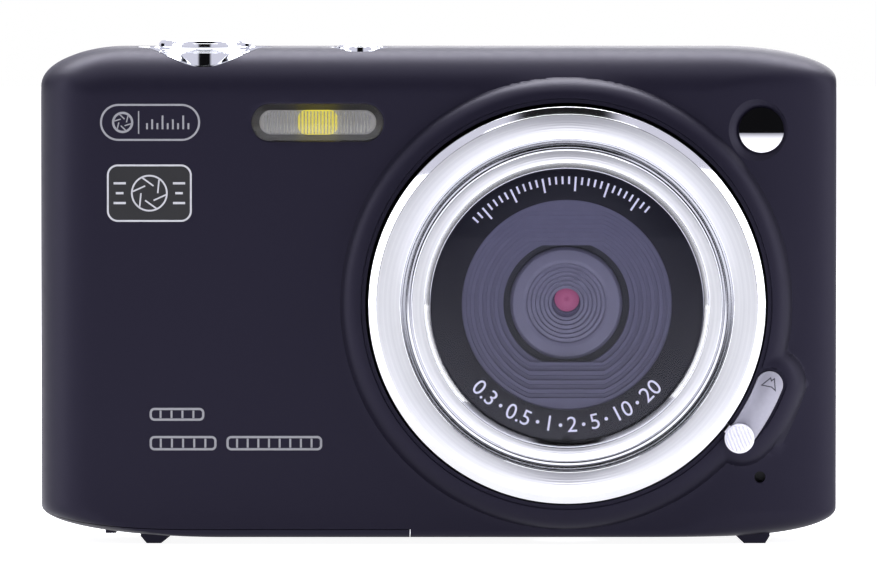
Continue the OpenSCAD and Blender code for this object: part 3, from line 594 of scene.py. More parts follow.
def ribbon(name, path, width, y, mat, closed=True, thick=0.02):
    """A flat printed line of even width along an X-Z path, facing -Y: the path moved half a width to each
    side along its normal, then given a thickness."""
    p = np.asarray(path, float)
    p = p[np.hypot(*(p - np.roll(p, 1, 0)).T) > 1e-4]
    ahead, behind = np.roll(p, -1, 0) - p, p - np.roll(p, 1, 0)
    if not closed:
        ahead[-1], behind[0] = behind[-1], ahead[0]
    ahead, behind = (v / np.hypot(*v.T)[:, None] for v in (ahead, behind))
    mean = ahead + behind
    mean = mean / np.hypot(*mean.T)[:, None]
    side = np.stack([-mean[:, 1], mean[:, 0]], -1)
    reach = width / 2 / np.clip((mean * ahead).sum(1), 0.4, 1)[:, None]
    left, right = p + side * reach, p - side * reach
    loops = [np.stack([q[:, 0], np.full(len(q), h), q[:, 1]], -1)
             for q, h in ((left, y), (right, y), (right, y + thick), (left, y + thick))]
    count = len(p)
    faces = grid_faces(4, count, True, closed)
    if not closed:
        faces += [[k * count for k in range(4)], [k * count + count - 1 for k in range(4)][::-1]]
    return mesh_of(name, np.concatenate(loops), faces, mat, 30)


def at(path, x, z):
    """A path moved by x and z."""
    return np.asarray(path, float) + np.array([x, z])


def iris(inner_r, outer_r, lean):
    """Six blade lines of an iris, from inner to outer radius, each leaning forward by an angle."""
    turns = [k * math.pi / 3 for k in range(6)]
    return [[(inner_r * math.cos(turn), inner_r * math.sin(turn)),
             (outer_r * math.cos(turn + lean), outer_r * math.sin(turn + lean))] for turn in turns]


# Pad-printed inks: thin films a little smoother than the paint, so they stand off it by their gloss
ink = grained("pad_printed_grey_ink", "#8f8f94", "#7c7c82", 0.12, 0.004, Roughness=0.42)
bright_ink = grained("pad_printed_silver_ink", "#c9c9ce", "#b4b4ba", 0.12, 0.004, Roughness=0.35,
                     Metallic=0.4)
dark_ink = grained("pad_printed_black_ink", "#0d0d10", "#121217", 0.12, 0.004, Roughness=0.35)
PRINT_Y = FRONT - 0.015
FRAME_MARK, PLATE_MARK = (-37.9, 55.6), (-38.0, 46.3)
BARS = ((-34.4, 17.2, 7.2, 1.7), (-33.6, 13.4, 8.8, 1.9), (-21.6, 13.4, 12.6, 1.9))
prints = [ribbon("mark", at(rounded(12.9, 4.6, 2.3)(), *FRAME_MARK), 0.26, PRINT_Y, ink)]
APERTURE = (FRAME_MARK[0] - 3.6, FRAME_MARK[1])
prints.append(ribbon("mark", at(circle(1.25)(), *APERTURE), 0.3, PRINT_Y, ink))
for blade in iris(0.5, 1.15, 0.9):
    prints.append(ribbon("mark", at(blade, *APERTURE), 0.16, PRINT_Y, ink, False))
prints.append(ribbon("mark", at([(-1.5, -1.5), (-1.5, 1.5)], *FRAME_MARK), 0.16, PRINT_Y, ink, False))
for k, tall in enumerate((0.8, 1.3, 0.8, 1.8, 0.8, 1.3, 0.8, 1.8, 0.8)):
    foot = (FRAME_MARK[0] - 0.4 + 0.68 * k, FRAME_MARK[1] - 0.9)
    prints.append(ribbon("mark", at([(0, 0), (0, tall)], *foot), 0.24, PRINT_Y, ink, False))
for x, z, w, h in BARS:
    prints.append(ribbon("mark", at(rounded(w - 0.3, h - 0.3, 0.5)(), x, z), 0.3, PRINT_Y, ink))
    steps = int(w / 1.3)
    for k in range(1, steps):
        place = (x - w / 2 + w * k / steps, z)
        prints.append(ribbon("mark", at([(0, -h / 2 + 0.35), (0, h / 2 - 0.35)], *place), 0.26, PRINT_Y,
                             ink, False))
prints.append(stacked("plate", rounded(11.2, 7.6, 1.4), [(0, PRINT_Y), (0, PRINT_Y + 0.02)], PLATE_MARK,
                      "y", dark_ink))
OVER_Y = PRINT_Y - 0.01
prints.append(ribbon("mark", at(rounded(10.9, 7.3, 1.3)(), *PLATE_MARK), 0.24, OVER_Y, bright_ink))
prints.append(ribbon("mark", at(circle(2.3)(), *PLATE_MARK), 0.22, OVER_Y, bright_ink))
for blade in iris(1.1, 2.2, 0.95):
    prints.append(ribbon("mark", at(blade, *PLATE_MARK), 0.2, OVER_Y, bright_ink, False))
for side in (-1, 1):
    for k, wide in enumerate((1.6, 1.0, 1.6)):
        place = (PLATE_MARK[0] + side * 3.9, PLATE_MARK[1] + 1.3 - 1.3 * k)
        prints.append(ribbon("mark", at([(-wide / 2, 0), (wide / 2, 0)], *place), 0.3, OVER_Y, bright_ink,
                             False))
front_prints = joined("front_prints", prints)
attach(front_prints, "camera")

# ---- Lens rings ---------------------------------------------------------------------------------
# Two nested rings turned from aluminium bar. Their faces are spun, which leaves fine concentric
# grooves that smear light across them, and their edges are diamond-cut to a mirror, then anodised.


def eased(profile, size, steps=4):
    """A closed profile with every corner off the axis made a curve, (1-t)^2 A + 2t(1-t) P + t^2 B.

    A and B lie size away from corner P, or a third of the side if that is less.
    """
    p = np.asarray(profile, float)
    t = np.linspace(0, 1, steps)[:, None]
    out = []
    for before, corner, after in zip(np.roll(p, 1, 0), p, np.roll(p, -1, 0)):
        if corner[0] < 1e-6:
            out.append(corner[None])
            continue
        a, b = (corner + (q - corner) * min(size / np.hypot(*(q - corner)), 0.33) for q in (before, after))
        out.append(a * (1 - t) ** 2 + 2 * corner * t * (1 - t) + b * t ** 2)
    return np.concatenate(out)


def turned(name, profile, place, facing, mat, steps=192, angle=30):
    """A turned solid: each (radius, height) point of a closed profile carried once round the axis."""
    t = np.linspace(0, 2 * math.pi, steps, endpoint=False)
    r, h = np.asarray(profile, float).T
    a, b = place[0] + r[:, None] * np.cos(t), place[1] + r[:, None] * np.sin(t)
    c = np.repeat(h[:, None], steps, 1)
    points = np.stack({"x": (c, a, b), "y": (a, c, b), "z": (a, b, c)}[facing], -1)
    return mesh_of(name, points.reshape(-1, 3), grid_faces(len(r), steps, True, True), mat, angle)


def radius_node(tree, place):
    """Distance from an axis along Y through place: Object coordinates less place, Y zeroed, length."""
    coords = add(tree, "ShaderNodeTexCoord")
    off = add(tree, "ShaderNodeVectorMath", {1: (place[0] * MM, 0.0, place[1] * MM)},
              {0: coords.outputs["Object"]}, operation="SUBTRACT")
    flat = add(tree, "ShaderNodeVectorMath", {1: (1.0, 0.0, 1.0)}, {0: off.outputs[0]},
               operation="MULTIPLY")
    length = add(tree, "ShaderNodeVectorMath", None, {0: flat.outputs[0]}, operation="LENGTH")
    return length.outputs["Value"]


# Spun aluminium: grooves 0.1 mm apart, drawn 0.34 mm apart so that they show, each a little uneven
spun, tree, shader = surface("spun_anodised_aluminium", "#dcdde3", Metallic=1.0, Roughness=0.28,
                             Anisotropic=1.0)
GROOVE = 0.34
radius = radius_node(tree, centre)
wave = add(tree, "ShaderNodeMath", {1: 2 * math.pi / (GROOVE * MM)}, {0: radius}, operation="MULTIPLY")
ridge = add(tree, "ShaderNodeMath", None, {0: wave.outputs[0]}, operation="SINE")
along = add(tree, "ShaderNodeMath", {1: 3000.0}, {0: radius}, operation="MULTIPLY")
line = add(tree, "ShaderNodeCombineXYZ", None, {0: along.outputs[0]})
lathe = add(tree, "ShaderNodeTexNoise", {"Scale": 1.0, "Detail": 4.0}, {"Vector": line.outputs[0]})
cut = add(tree, "ShaderNodeMath", {2: 0.3}, {0: lathe.outputs["Fac"], 1: ridge.outputs[0]}, operation="ADD")
relief = add(tree, "ShaderNodeBump", {"Strength": 0.2, "Distance": 0.000006}, {"Height": cut.outputs[0]})
tree.links.new(relief.outputs[0], shader.inputs["Normal"])
tone = add(tree, "ShaderNodeMix", {6: linear("#f2f3f6"), 7: linear("#cfd0d6")}, {0: lathe.outputs["Fac"]},
           data_type="RGBA")
tree.links.new(tone.outputs[2], shader.inputs["Base Color"])
grip_dir = add(tree, "ShaderNodeTangent", direction_type="RADIAL", axis="Y")
tree.links.new(grip_dir.outputs[0], shader.inputs["Tangent"])
# Diamond-cut edge: nearly a mirror, with a slight lathe waviness
cut_edge = grained("diamond_cut_aluminium", "#e9eaee", "#dcdde2", 0.5, 0.0002, 0.02, Metallic=1.0,
                   Roughness=0.08)


def spun_faces(piece, bands):
    """Gives the spun finish to the faces whose mid radius lies in one of the bands and which look forward."""
    mesh = piece.data
    mesh.materials.append(spun)
    mid = np.empty(len(mesh.polygons) * 3)
    look = np.empty(len(mesh.polygons) * 3)
    mesh.polygons.foreach_get("center", mid)
    mesh.polygons.foreach_get("normal", look)
    mid, look = mid.reshape(-1, 3) / MM, look.reshape(-1, 3)
    r = np.hypot(mid[:, 0] - LENS_X, mid[:, 2] - LENS_Z)
    inside = np.any([(r > a) & (r < b) for a, b in bands], 0) & (look[:, 1] < -0.9)
    mesh.polygons.foreach_set("material_index", inside.astype(int))


RING_Y = in_mm(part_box("lens_ring_outer"))[0][1]
outer_profile = [(21.1, -5.9), (26, -5.9), (26, RING_Y + 0.8), (25, RING_Y), (21.85, RING_Y + 0.01),
                 (21.45, RING_Y + 1.1), (21.1, RING_Y + 1.3)]
outer_ring = turned("lens_ring_outer_turned", eased(outer_profile, 0.07), centre, "y", cut_edge, 256, 12)
spun_faces(outer_ring, [(21.9, 24.95)])
inner_profile = [(21.05, -6.2), (21.05, RING_Y + 1.3), (20.7, RING_Y + 1.2), (20.3, RING_Y + 0.55),
                 (18.7, RING_Y + 0.56), (18, RING_Y + 1.4), (18, RING_Y + 2.6), (14.6, RING_Y + 2.6),
                 (14.6, RING_Y + 3.6), (19.8, RING_Y + 3.6), (19.8, -6.2)]
inner_ring = turned("lens_ring_inner_turned", eased(inner_profile, 0.06), centre, "y", cut_edge, 256, 12)
spun_faces(inner_ring, [(18.75, 20.25)])
for piece, node in ((outer_ring, "lens_ring_outer"), (inner_ring, "lens_ring_inner")):
    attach(piece, "camera")
    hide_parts(node)

# ---- Lens window and its printed mask -----------------------------------------------------------
# A disc of clear hard-coated acrylic with a notch at its foot that keys it in the ring. Black ink is
# printed behind it, leaving a round clear middle, with a distance scale of ticks and numbers in white.
GLASS_Y = lens_low[1]
NOTCH = 0.65


def notched(r, n=180):
    """Outline function of a circle with a half-round notch at its foot: the long arc, then the notch."""
    def outline(inset=0.0):
        gap = math.asin(NOTCH / r)
        t = np.linspace(-math.pi / 2 + gap, 1.5 * math.pi - gap, n)
        u = np.linspace(math.pi, 0, 18)[1:-1]
        long_arc = (r - inset) * np.stack([np.cos(t), np.sin(t)], -1)
        notch = np.stack([NOTCH * np.cos(u), -r + inset + NOTCH * np.sin(u)], -1)
        return np.concatenate([long_arc, notch])
    return outline


def clear(name, tint, gloss, share, **values):
    """A clear sheet: Transparent for what passes, a glossy Principled for what Fresnel turns back."""
    mat, tree, shader = surface(name, tint, **values)
    fresnel = add(tree, "ShaderNodeFresnel", {"IOR": share})
    through = add(tree, "ShaderNodeBsdfTransparent", {"Color": linear(gloss)})
    haze = add(tree, "ShaderNodeTexNoise", {"Scale": 900.0},
               {"Vector": add(tree, "ShaderNodeTexCoord").outputs["Object"]})
    rough = shader.inputs["Roughness"].default_value
    smear = add(tree, "ShaderNodeMapRange", {"To Min": rough * 0.6, "To Max": rough * 1.6},
                {"Value": haze.outputs["Fac"]})
    tree.links.new(smear.outputs[0], shader.inputs["Roughness"])
    mix = add(tree, "ShaderNodeMixShader", None,
              {0: fresnel.outputs[0], 1: through.outputs[0], 2: shader.outputs[0]})
    out = next(n for n in tree.nodes if n.type == "OUTPUT_MATERIAL")
    tree.links.new(mix.outputs[0], out.inputs["Surface"])
    return mat


# Hard-coated acrylic: all but invisible, with a faint sharp reflection and a cool tint
acrylic = clear("hard_coated_acrylic", "#ffffff", "#f6f6fc", 1.22, Metallic=1.0, Roughness=0.012)
window = stacked("lens_window_glass", notched(17.88),
                 [(0.14, GLASS_Y), (0, GLASS_Y + 0.14), (0, GLASS_Y + 0.58), (0.06, GLASS_Y + 0.64)],
                 centre, "y", acrylic)
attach(window, "camera")
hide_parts("lens_window")

# Screen-printed inks: a dull dense black, and an opaque white that reads crisply against it; the white carries
# a faint painted glow that lifts it behind the window
back_ink = grained("screen_printed_black", "#15151d", "#181820", 0.2, 0.002, Roughness=0.4,
                   Specular_IOR_Level=0.25)
white_ink = grained("screen_printed_white_painted_glow", "#f6f6fa", "#ededf3", 0.15, 0.003, Roughness=0.45,
                    Emission_Color=linear("#ffffff"), Emission_Strength=0.12)
MASK_Y = GLASS_Y + 0.7
mask = turned("lens_mask_print", eased([(13.77, MASK_Y), (17.85, MASK_Y), (17.85, MASK_Y + 0.28),
                                        (13.77, MASK_Y + 0.28)], 0.03), centre, "y", back_ink, 192)


def on_arc(r, degrees):
    """Point on a circle about the lens axis, degrees clockwise from the top."""
    a = math.radians(90 - degrees)
    return np.array([LENS_X + r * math.cos(a), LENS_Z + r * math.sin(a)])


def numeral(text, size, r, degrees, upright, y, mat):
    """Printed figures: a text outline made a thin mesh, centred, turned to the arc and moved to it."""
    curve = bpy.data.curves.new("figures", "FONT")
    curve.body, curve.size, curve.extrude = text, size, 0.01
    curve.align_x, curve.align_y = "CENTER", "CENTER"
    holder = bpy.data.objects.new("figures", curve)
    bpy.context.scene.collection.objects.link(holder)
    graph = bpy.context.evaluated_depsgraph_get()
    flat = bpy.data.meshes.new_from_object(holder.evaluated_get(graph), depsgraph=graph)
    points = np.empty(len(flat.vertices) * 3)
    flat.vertices.foreach_get("co", points)
    u, v, w = points.reshape(-1, 3).T
    a = math.radians(-degrees if upright else 180 - degrees)
    cx, cz = on_arc(r, degrees)
    placed = np.stack([cx + u * math.cos(a) - v * math.sin(a), y - w,
                       cz + u * math.sin(a) + v * math.cos(a)], -1)
    faces = [list(face.vertices) for face in flat.polygons]
    bpy.data.objects.remove(holder)
    return mesh_of("figures", placed, faces, mat, 30)


scale_marks = []
for k in range(30):
    degrees = -47 + 3 * k
    depth = 1.9 if k % 5 == 2 else 1.0
    scale_marks.append(ribbon("tick", [on_arc(16.85 - depth, degrees), on_arc(16.85, degrees)], 0.26,
                              MASK_Y - 0.03, white_ink, False))
# Figures and dots are spaced by their widths along the arc, left to right
FIGURES, TYPE_R, TYPE_GAP = ("0.3", "0.5", "1", "2", "5", "10", "20"), 15.8, 1.5
widths = np.array([1.55 * len(text.replace(".", "")) + 0.7 * text.count(".") for text in FIGURES])
ends = np.cumsum(widths + TYPE_GAP)
length = ends[-1] - TYPE_GAP
for text, width, end in zip(FIGURES, widths, ends):
    along = end - TYPE_GAP - width / 2 - length / 2
    scale_marks.append(numeral(text, 2.9, TYPE_R, 180 - math.degrees(along / TYPE_R), False, MASK_Y - 0.02,
                               white_ink))
for end in ends[:-1]:
    spot = on_arc(TYPE_R, 180 - math.degrees((end - TYPE_GAP / 2 - length / 2) / TYPE_R))
    scale_marks.append(stacked("dot", circle(0.24, 20), [(0, MASK_Y - 0.03), (0, MASK_Y - 0.01)], spot, "y",
                               white_ink))
scale_print = joined("lens_scale_print", scale_marks)
for piece in (mask, scale_print):
    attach(piece, "camera")
    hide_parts("lens_mask")

# ---- Lens hood ----------------------------------------------------------------------------------
# A funnel of matt black polycarbonate behind the window, moulded in fine steps that keep stray
# light from the lens. Each step is round with its top and foot cut flat.
HOOD_STEPS, STEP_R, HOOD_R = 10, 0.52, 13.7
FLAT_HALF, BORE_FLAT = 4.9, 7.7
mouth = GLASS_Y + 1.05
stairs, step_y = [], mouth
for k in range(HOOD_STEPS):
    stairs.append((HOOD_R - k * STEP_R, step_y))
    step_y += 0.66 if k % 2 else 0.16
    stairs.append((HOOD_R - k * STEP_R, step_y))
stairs += [(8.3, step_y), (8.3, -6.6), (9.6, -6.6), (9.6, -7.4), (14.4, -10.9), (14.4, mouth)]
stairs = eased(stairs, 0.06)
t = np.linspace(0, 2 * math.pi, 256, endpoint=False)
r, h = stairs[:, :1], stairs[:, 1:]
flat = np.where(r < 13.2, np.sqrt(np.maximum(r ** 2 - FLAT_HALF ** 2, BORE_FLAT ** 2)), 99.0)
hood_points = np.stack([LENS_X + r * np.cos(t), h + 0 * t, LENS_Z + np.clip(r * np.sin(t), -flat, flat)], -1)
# Matt moulded polycarbonate: a fine etched grain that spreads the light, so the steps read softly; its black
# is lifted to a mid grey by painted haze, the veil of light the window in front lays over it
hood_black = grained("moulded_matt_polycarbonate_painted_haze", "#6b6a7c", "#626172", 0.14, 0.006, Roughness=0.58)
hood = mesh_of("lens_hood_stepped", hood_points.reshape(-1, 3), grid_faces(len(stairs), 256, True, True),
               hood_black, 25)
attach(hood, "camera")
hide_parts("lens_hood")

# ---- Focus barrel and its elements --------------------------------------------------------------
# The moulded barrel that slides a little to focus: a flat front with a bright-edged bevel and fine
# steps down to the glass. The front element is coated, and looks violet-grey with a pink pupil.
CONE_RINGS = 6
cone = [(5.75, -7.0), (5.45, -6.93)]
for k in range(CONE_RINGS):
    outer_r, front_h = 5.25 - k * 0.57, -6.85 + k * 0.14
    cone += [(outer_r, front_h), (outer_r - 0.14, front_h + 0.28), (outer_r - 0.5, front_h + 0.24)]
barrel_profile = [(7.4, -0.2), (7.4, -6.6), (7.0, -7.0)] + cone + [
    (1.92, -5.75), (2.9, -5.46), (3.6, -5.42), (3.6, -3.4), (2.2, -3.4), (2.2, -2.4), (3.2, -2.4),
    (3.2, -0.2)]
# Satin moulded polycarbonate: smoother than the hood, so its ringed cone shows thin highlights; its dark
# plastic is lifted to a grey by painted haze, the veil of light from the window in front
barrel_black = grained("moulded_satin_polycarbonate_painted_haze", "#7f7e8c", "#757482", 0.12, 0.004, Roughness=0.42)
barrel = turned("lens_barrel_moulded", eased(barrel_profile, 0.05), centre, "y", barrel_black, 160, 25)
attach(barrel, "focus_barrel")
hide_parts("lens_barrel")

# Coated glass: the colour is set by the radius: a pink pupil seen through the element, then violet-grey rings
# that are painted reflections of the barrel's stepped cone
coated, tree, shader = surface("coated_optical_glass", "#504c62", Roughness=0.12, Specular_IOR_Level=0.12)
PUPIL = (LENS_X + 0.1, LENS_Z + 0.5)
radius = radius_node(tree, PUPIL)
share = add(tree, "ShaderNodeMath", {1: 1 / (4.0 * MM)}, {0: radius}, operation="MULTIPLY")
painted_reflection_tones = add(tree, "ShaderNodeValToRGB", None, {0: share.outputs[0]})
ramp = painted_reflection_tones.color_ramp
ramp.elements[0].position, ramp.elements[0].color = 0.0, linear("#b05a7a")
ramp.elements[1].position, ramp.elements[1].color = 1.0, linear("#4b485a")
for place, code in ((0.14, "#c66f8c"), (0.39, "#b25c7c"), (0.42, "#3c3546"), (0.47, "#5a5568"),
                    (0.55, "#4a4658"), (0.6, "#615c70"), (0.68, "#4a4658")):
    stop = ramp.elements.new(place)
    stop.color = linear(code)
tree.links.new(painted_reflection_tones.outputs[0], shader.inputs["Base Color"])
dome_t = np.linspace(0, 1, 14)
dome = [(0.0, -3.5), (3.55, -3.5), (3.55, -5.33), (2.86, -5.36)] + [
    (2.8 * u, -5.85 + 0.5 * u * u) for u in dome_t[::-1]]
element = turned("front_element_glass", dome, centre, "y", coated, 96, 30)
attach(element, "focus_barrel")
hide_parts("front_element")

# ---- Macro lever --------------------------------------------------------------------------------
# A strip of satin silver let into the collar, printed with a mountain for far and a flower for near,
# and a ribbed knob that slides along it. The knob's blade passes down beside the lens ring.
# Satin silver paint: fine metal flake under a soft sheen, greyer than the cast knob
satin = grained("satin_silver_paint", "#a5a4b0", "#9897a4", 0.06, 0.003, 0.06, Metallic=0.25, Roughness=0.36)
STRIP_Y = in_mm(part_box("macro_strip"))[0][1]


def trimmed_pill(half):
    """The arc pill with its inner side held outside the blade's way, at a radius of 26.9 mm."""
    base = arc_pill(half, 40)

    def outline(inset=0.0):
        p = base(inset)
        r = np.hypot(*p.T)
        return p * (np.maximum(r, 26.9 + inset) / r)[:, None]
    return outline


strip = stacked("macro_strip_plate", trimmed_pill(1.78),
                [(0.14, STRIP_Y), (0.04, STRIP_Y + 0.06), (0, STRIP_Y + 0.16), (0, STRIP_Y + 0.88)],
                centre, "y", satin)
sign_turn = math.radians(-22)
mountain = np.array([(-1.15, -0.85), (-0.25, 0.75), (0.05, 0.35), (0.35, 0.85), (1.2, -0.85), (0.45, -0.55)])
c, s = math.cos(sign_turn), math.sin(sign_turn)
mountain = mountain @ np.array([[c, s], [-s, c]])
# Pad-printed dark grey: flat, so the two signs read as lines on the silver
sign_ink = grained("pad_printed_dark_grey", "#3a3944", "#32313b", 0.1, 0.003, Roughness=0.5)
far_sign = ribbon("sign_far", at(mountain * 0.82, *(np.array(centre) + 28.7 * np.array(
    [math.cos(LEVER_HIGH + 0.01), math.sin(LEVER_HIGH + 0.01)]))), 0.15, STRIP_Y - 0.015, sign_ink)
petals = []
near_at = np.array(centre) + 28.7 * np.array([math.cos(LEVER_LOW), math.sin(LEVER_LOW)])
for k in range(5):
    turn = k * 2 * math.pi / 5 + 0.3
    petals.append(ribbon("petal", at(circle(0.3, 20)(), near_at[0] + 0.55 * math.cos(turn),
                                     near_at[1] + 0.55 * math.sin(turn)), 0.12, STRIP_Y - 0.015, sign_ink))
signs = joined("macro_signs", [far_sign] + petals)
for piece in (strip, signs):
    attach(piece, "camera")
    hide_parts("macro_strip")

KNOB_Y = in_mm(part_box("macro_knob"))[0][1]
KNOB_R, RIB, RIB_TURN = 1.95, 0.46, math.radians(22)
u = np.linspace(0, 1, 44)[:, None]
t = np.linspace(0, 2 * math.pi, 96, endpoint=False)[None, :]
kx, kz = near_at[0] + (KNOB_R - 0.1) * u * np.cos(t), near_at[1] + (KNOB_R - 0.1) * u * np.sin(t)
across = (kx - near_at[0]) * math.cos(RIB_TURN) + (kz - near_at[1]) * math.sin(RIB_TURN)
ribs = 0.26 * np.abs(np.sin(math.pi * across / RIB)) * smooth(1.0, 0.9, u)
top = np.stack([kx, KNOB_Y + 0.19 - ribs, kz], -1)
sides = [np.stack([near_at[0] + rr * np.cos(t[0]), np.full(96, yy), near_at[1] + rr * np.sin(t[0])], -1)
         for rr, yy in ((KNOB_R - 0.02, KNOB_Y + 0.24), (KNOB_R, KNOB_Y + 0.34), (KNOB_R, COLLAR - 0.33),
                        (KNOB_R - 0.08, COLLAR - 0.25), (0.0, COLLAR - 0.25))]
knob_points = np.concatenate([top, np.array(sides)])
# Bright cast metal: lighter and smoother than the painted strip it slides on
cast = grained("bright_cast_zinc", "#f0eff8", "#e6e5f0", 0.08, 0.002, 0.04, Metallic=0.3, Roughness=0.3)
knob = mesh_of("macro_knob_ribbed", knob_points.reshape(-1, 3), grid_faces(len(knob_points), 96, False, True),
               cast, 35)
half_turn = math.radians(1.2)
a = np.linspace(LEVER_LOW - half_turn, LEVER_LOW + half_turn, 14)


def arc_slab(name, r0, r1, y0, y1, mat):
    """A slab between two radii over the blade's angles, from y0 to y1."""
    ray = np.stack([np.cos(a), np.sin(a)], -1)
    path = np.concatenate([r1 * ray, (r0 * ray)[::-1]])
    return stacked(name, lambda inset=0.0: path, [(0, y0), (0, y1)], centre, "y", mat)


knob = joined("macro_knob_ribbed", [knob, arc_slab("arm", 26.25, 27.3, COLLAR - 0.95, COLLAR - 0.3, cast),
                                    arc_slab("blade", 26.25, 26.62, COLLAR - 0.95, BORE_BACK, cast)])
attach(knob, "macro_lever")
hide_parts("macro_knob")

# ---- Flash --------------------------------------------------------------------------------------
# A clear acrylic window with fine upright ribs moulded inside, a vacuum-metallised reflector tray
# behind it, and a white LED whose phosphor shows yellow.
# Moulded clear acrylic: clear, with a slightly soft reflection
flash_glass = clear("moulded_clear_acrylic", "#ffffff", "#f4f4ee", 1.45, Metallic=1.0, Roughness=0.08)
FLASH_Y = flash_low[1]
pill_shape = rounded(FLASH_SIZE[0] - 0.04, FLASH_SIZE[1] - 0.04, FLASH_SIZE[1] / 2 - 0.03, 20)
flash_pane = stacked("flash_window_pane", pill_shape,
                     [(0.22, FLASH_Y), (0.06, FLASH_Y + 0.06), (0, FLASH_Y + 0.2), (0, FLASH_Y + 1.2)],
                     FLASH, "y", flash_glass)
ZONE_W, ZONE_H, RIB_PITCH = 14.3, 3.0, 0.44
count = int(ZONE_W / RIB_PITCH)
rib_x = FLASH[0] + (np.arange(count) - (count - 1) / 2) * RIB_PITCH
end_gap = np.clip(np.abs(rib_x - FLASH[0]) - (ZONE_W / 2 - 1.5), 0, 1.4)
tall = np.sqrt(np.maximum(ZONE_H ** 2 / 4 - end_gap ** 2, 0.1))
arch = np.linspace(0, math.pi, 5)
rib_plan = np.stack([RIB_PITCH * 0.5 * np.cos(arch), 0.16 * np.sin(arch)], -1)
rib_points, rib_faces = [], []
for k in range(count):
    start = len(rib_points) * 10
    rib_points.append(np.concatenate([
        np.stack([rib_x[k] + rib_plan[:, 0], FLASH_Y + 1.22 + rib_plan[:, 1],
                  np.full(5, FLASH[1] + end * tall[k])], -1) for end in (-1, 1)]))
    rib_faces += [[start + j, start + j + 1, start + 6 + j, start + 5 + j] for j in range(4)]
    rib_faces += [[start + 4, start, start + 5, start + 9], [start + j for j in range(5)][::-1],
                  [start + 5 + j for j in range(5)]]
# The ribbed side: rougher, so each rib draws a pale upright line
rib_glass = clear("ribbed_clear_acrylic", "#ffffff", "#fafafe", 1.6, Metallic=1.0, Roughness=0.16)
flash_ribs = mesh_of("flash_window_ribs", np.concatenate(rib_points), rib_faces, rib_glass, 80)
# Vacuum-metallised ABS: a soft silver, lifted by a little glow for light that bounces in the tray
metallised = grained("vacuum_metallised_abs", "#dddce6", "#cecdd8", 0.4, 0.004, Metallic=0.35, Roughness=0.34,
                     Emission_Color=linear("#c3c1d8"), Emission_Strength=0.16)
reflector_low, reflector_high = in_mm(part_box("flash_reflector"))
tray = stacked("flash_reflector_tray", rounded(18.3, 6.1, 3.04, 20),
               [(0, reflector_low[1]), (0, reflector_high[1]), (5.9 / 2 - 0.02, reflector_high[1])],
               FLASH, "y", metallised)
tray = carved(tray, stacked("cut_tray", rounded(16.9, 4.7, 2.3, 20),
                            [(-0.3, reflector_low[1] - 0.1), (0.0, reflector_low[1] + 0.3), (0.75, -5.1),
                             (0.95, -4.9)], FLASH, "y", metallised), angle=40)
# The sloping wall and front rim of the tray take a darker grey: painted shade round the reflector
tray.data.materials.append(grained("tray_wall_painted_shade", "#57565f", "#4c4b54", 0.3, 0.004, Roughness=0.4))
# Faces outside the reflector's middle get the painted-shade grey
spots = np.empty(len(tray.data.polygons) * 3)
tray.data.polygons.foreach_get("center", spots)
spots = spots.reshape(-1, 3) / MM
wall = np.hypot(np.maximum(np.abs(spots[:, 0] - FLASH[0]) - 6.1, 0), spots[:, 2] - FLASH[1]) > 1.66
tray.data.polygons.foreach_set("material_index", wall.astype(int))
# Phosphor in silicone: a soft glossy yellow, given a painted glow so that it seems lit from within
phosphor = grained("led_phosphor_painted_glow", "#f2e04a", "#efd63a", 0.3, 0.006, Roughness=0.3,
                   Emission_Color=linear("#f4e668"), Emission_Strength=0.9)
led = stacked("flash_led_die", rounded(5.4, 3.5, 1.5), [(0.5, -5.25), (0.18, -5.2), (0, -5.0), (0, -4.25)],
              FLASH, "y", phosphor, 50)
for piece, node, slot in ((flash_pane, "flash_window", "flash_lens"),
                          (flash_ribs, "flash_window", "flash_lens"),
                          (tray, "flash_reflector", "reflector"), (led, "flash_led", "led")):
    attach(piece, "camera")
    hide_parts(node)

# ---- Self-portrait mirror -----------------------------------------------------------------------
# A small convex mirror of silvered acrylic, pressed into a dished recess of the case.
# Silvered acrylic: a true mirror, with the barest waviness of a moulded face
silvered = grained("silvered_acrylic", "#f2f2f4", "#e8e8ec", 0.8, 0.0003, 0.005, Metallic=1.0,
                   Roughness=0.02)
MIRROR_R, MIRROR_SAG = 2.95, 0.12
u = np.linspace(0, 1, 20)
mirror_dome = [(MIRROR_R * v, mirror_low[1] + 0.02 + MIRROR_SAG * v * v) for v in u]
mirror_piece = turned("selfie_mirror_dome",
                      mirror_dome + [(MIRROR_R, mirror_high[1]), (0.0, mirror_high[1])],
                      MIRROR, "y", silvered, 128, 40)
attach(mirror_piece, "camera")
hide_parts("selfie_mirror")

# ---- Top controls -------------------------------------------------------------------------------
# The shutter and power buttons: ABS plated with bright chrome, each in a chrome bowl that is cut to
# the rounded edge of the case. The power button carries a raised ring and bar.
# Bright chrome plate: a hard mirror that shows the room white and the dark band black
chrome = grained("bright_chrome_plate", "#eceef2", "#dfe1e6", 0.9, 0.0006, 0.02, Metallic=1.0,
                 Roughness=0.06)


def case_top(x, y):
    """Height of the case top: the flat top, less the front edge's quarter-ellipse and the corner's."""
    front_fall = corner_drop(y - FRONT, ROLL["top"][1], ROLL["top"][0])
    return TOP - front_fall - corner_drop(x - LEFT, *CORNERS["tl"])


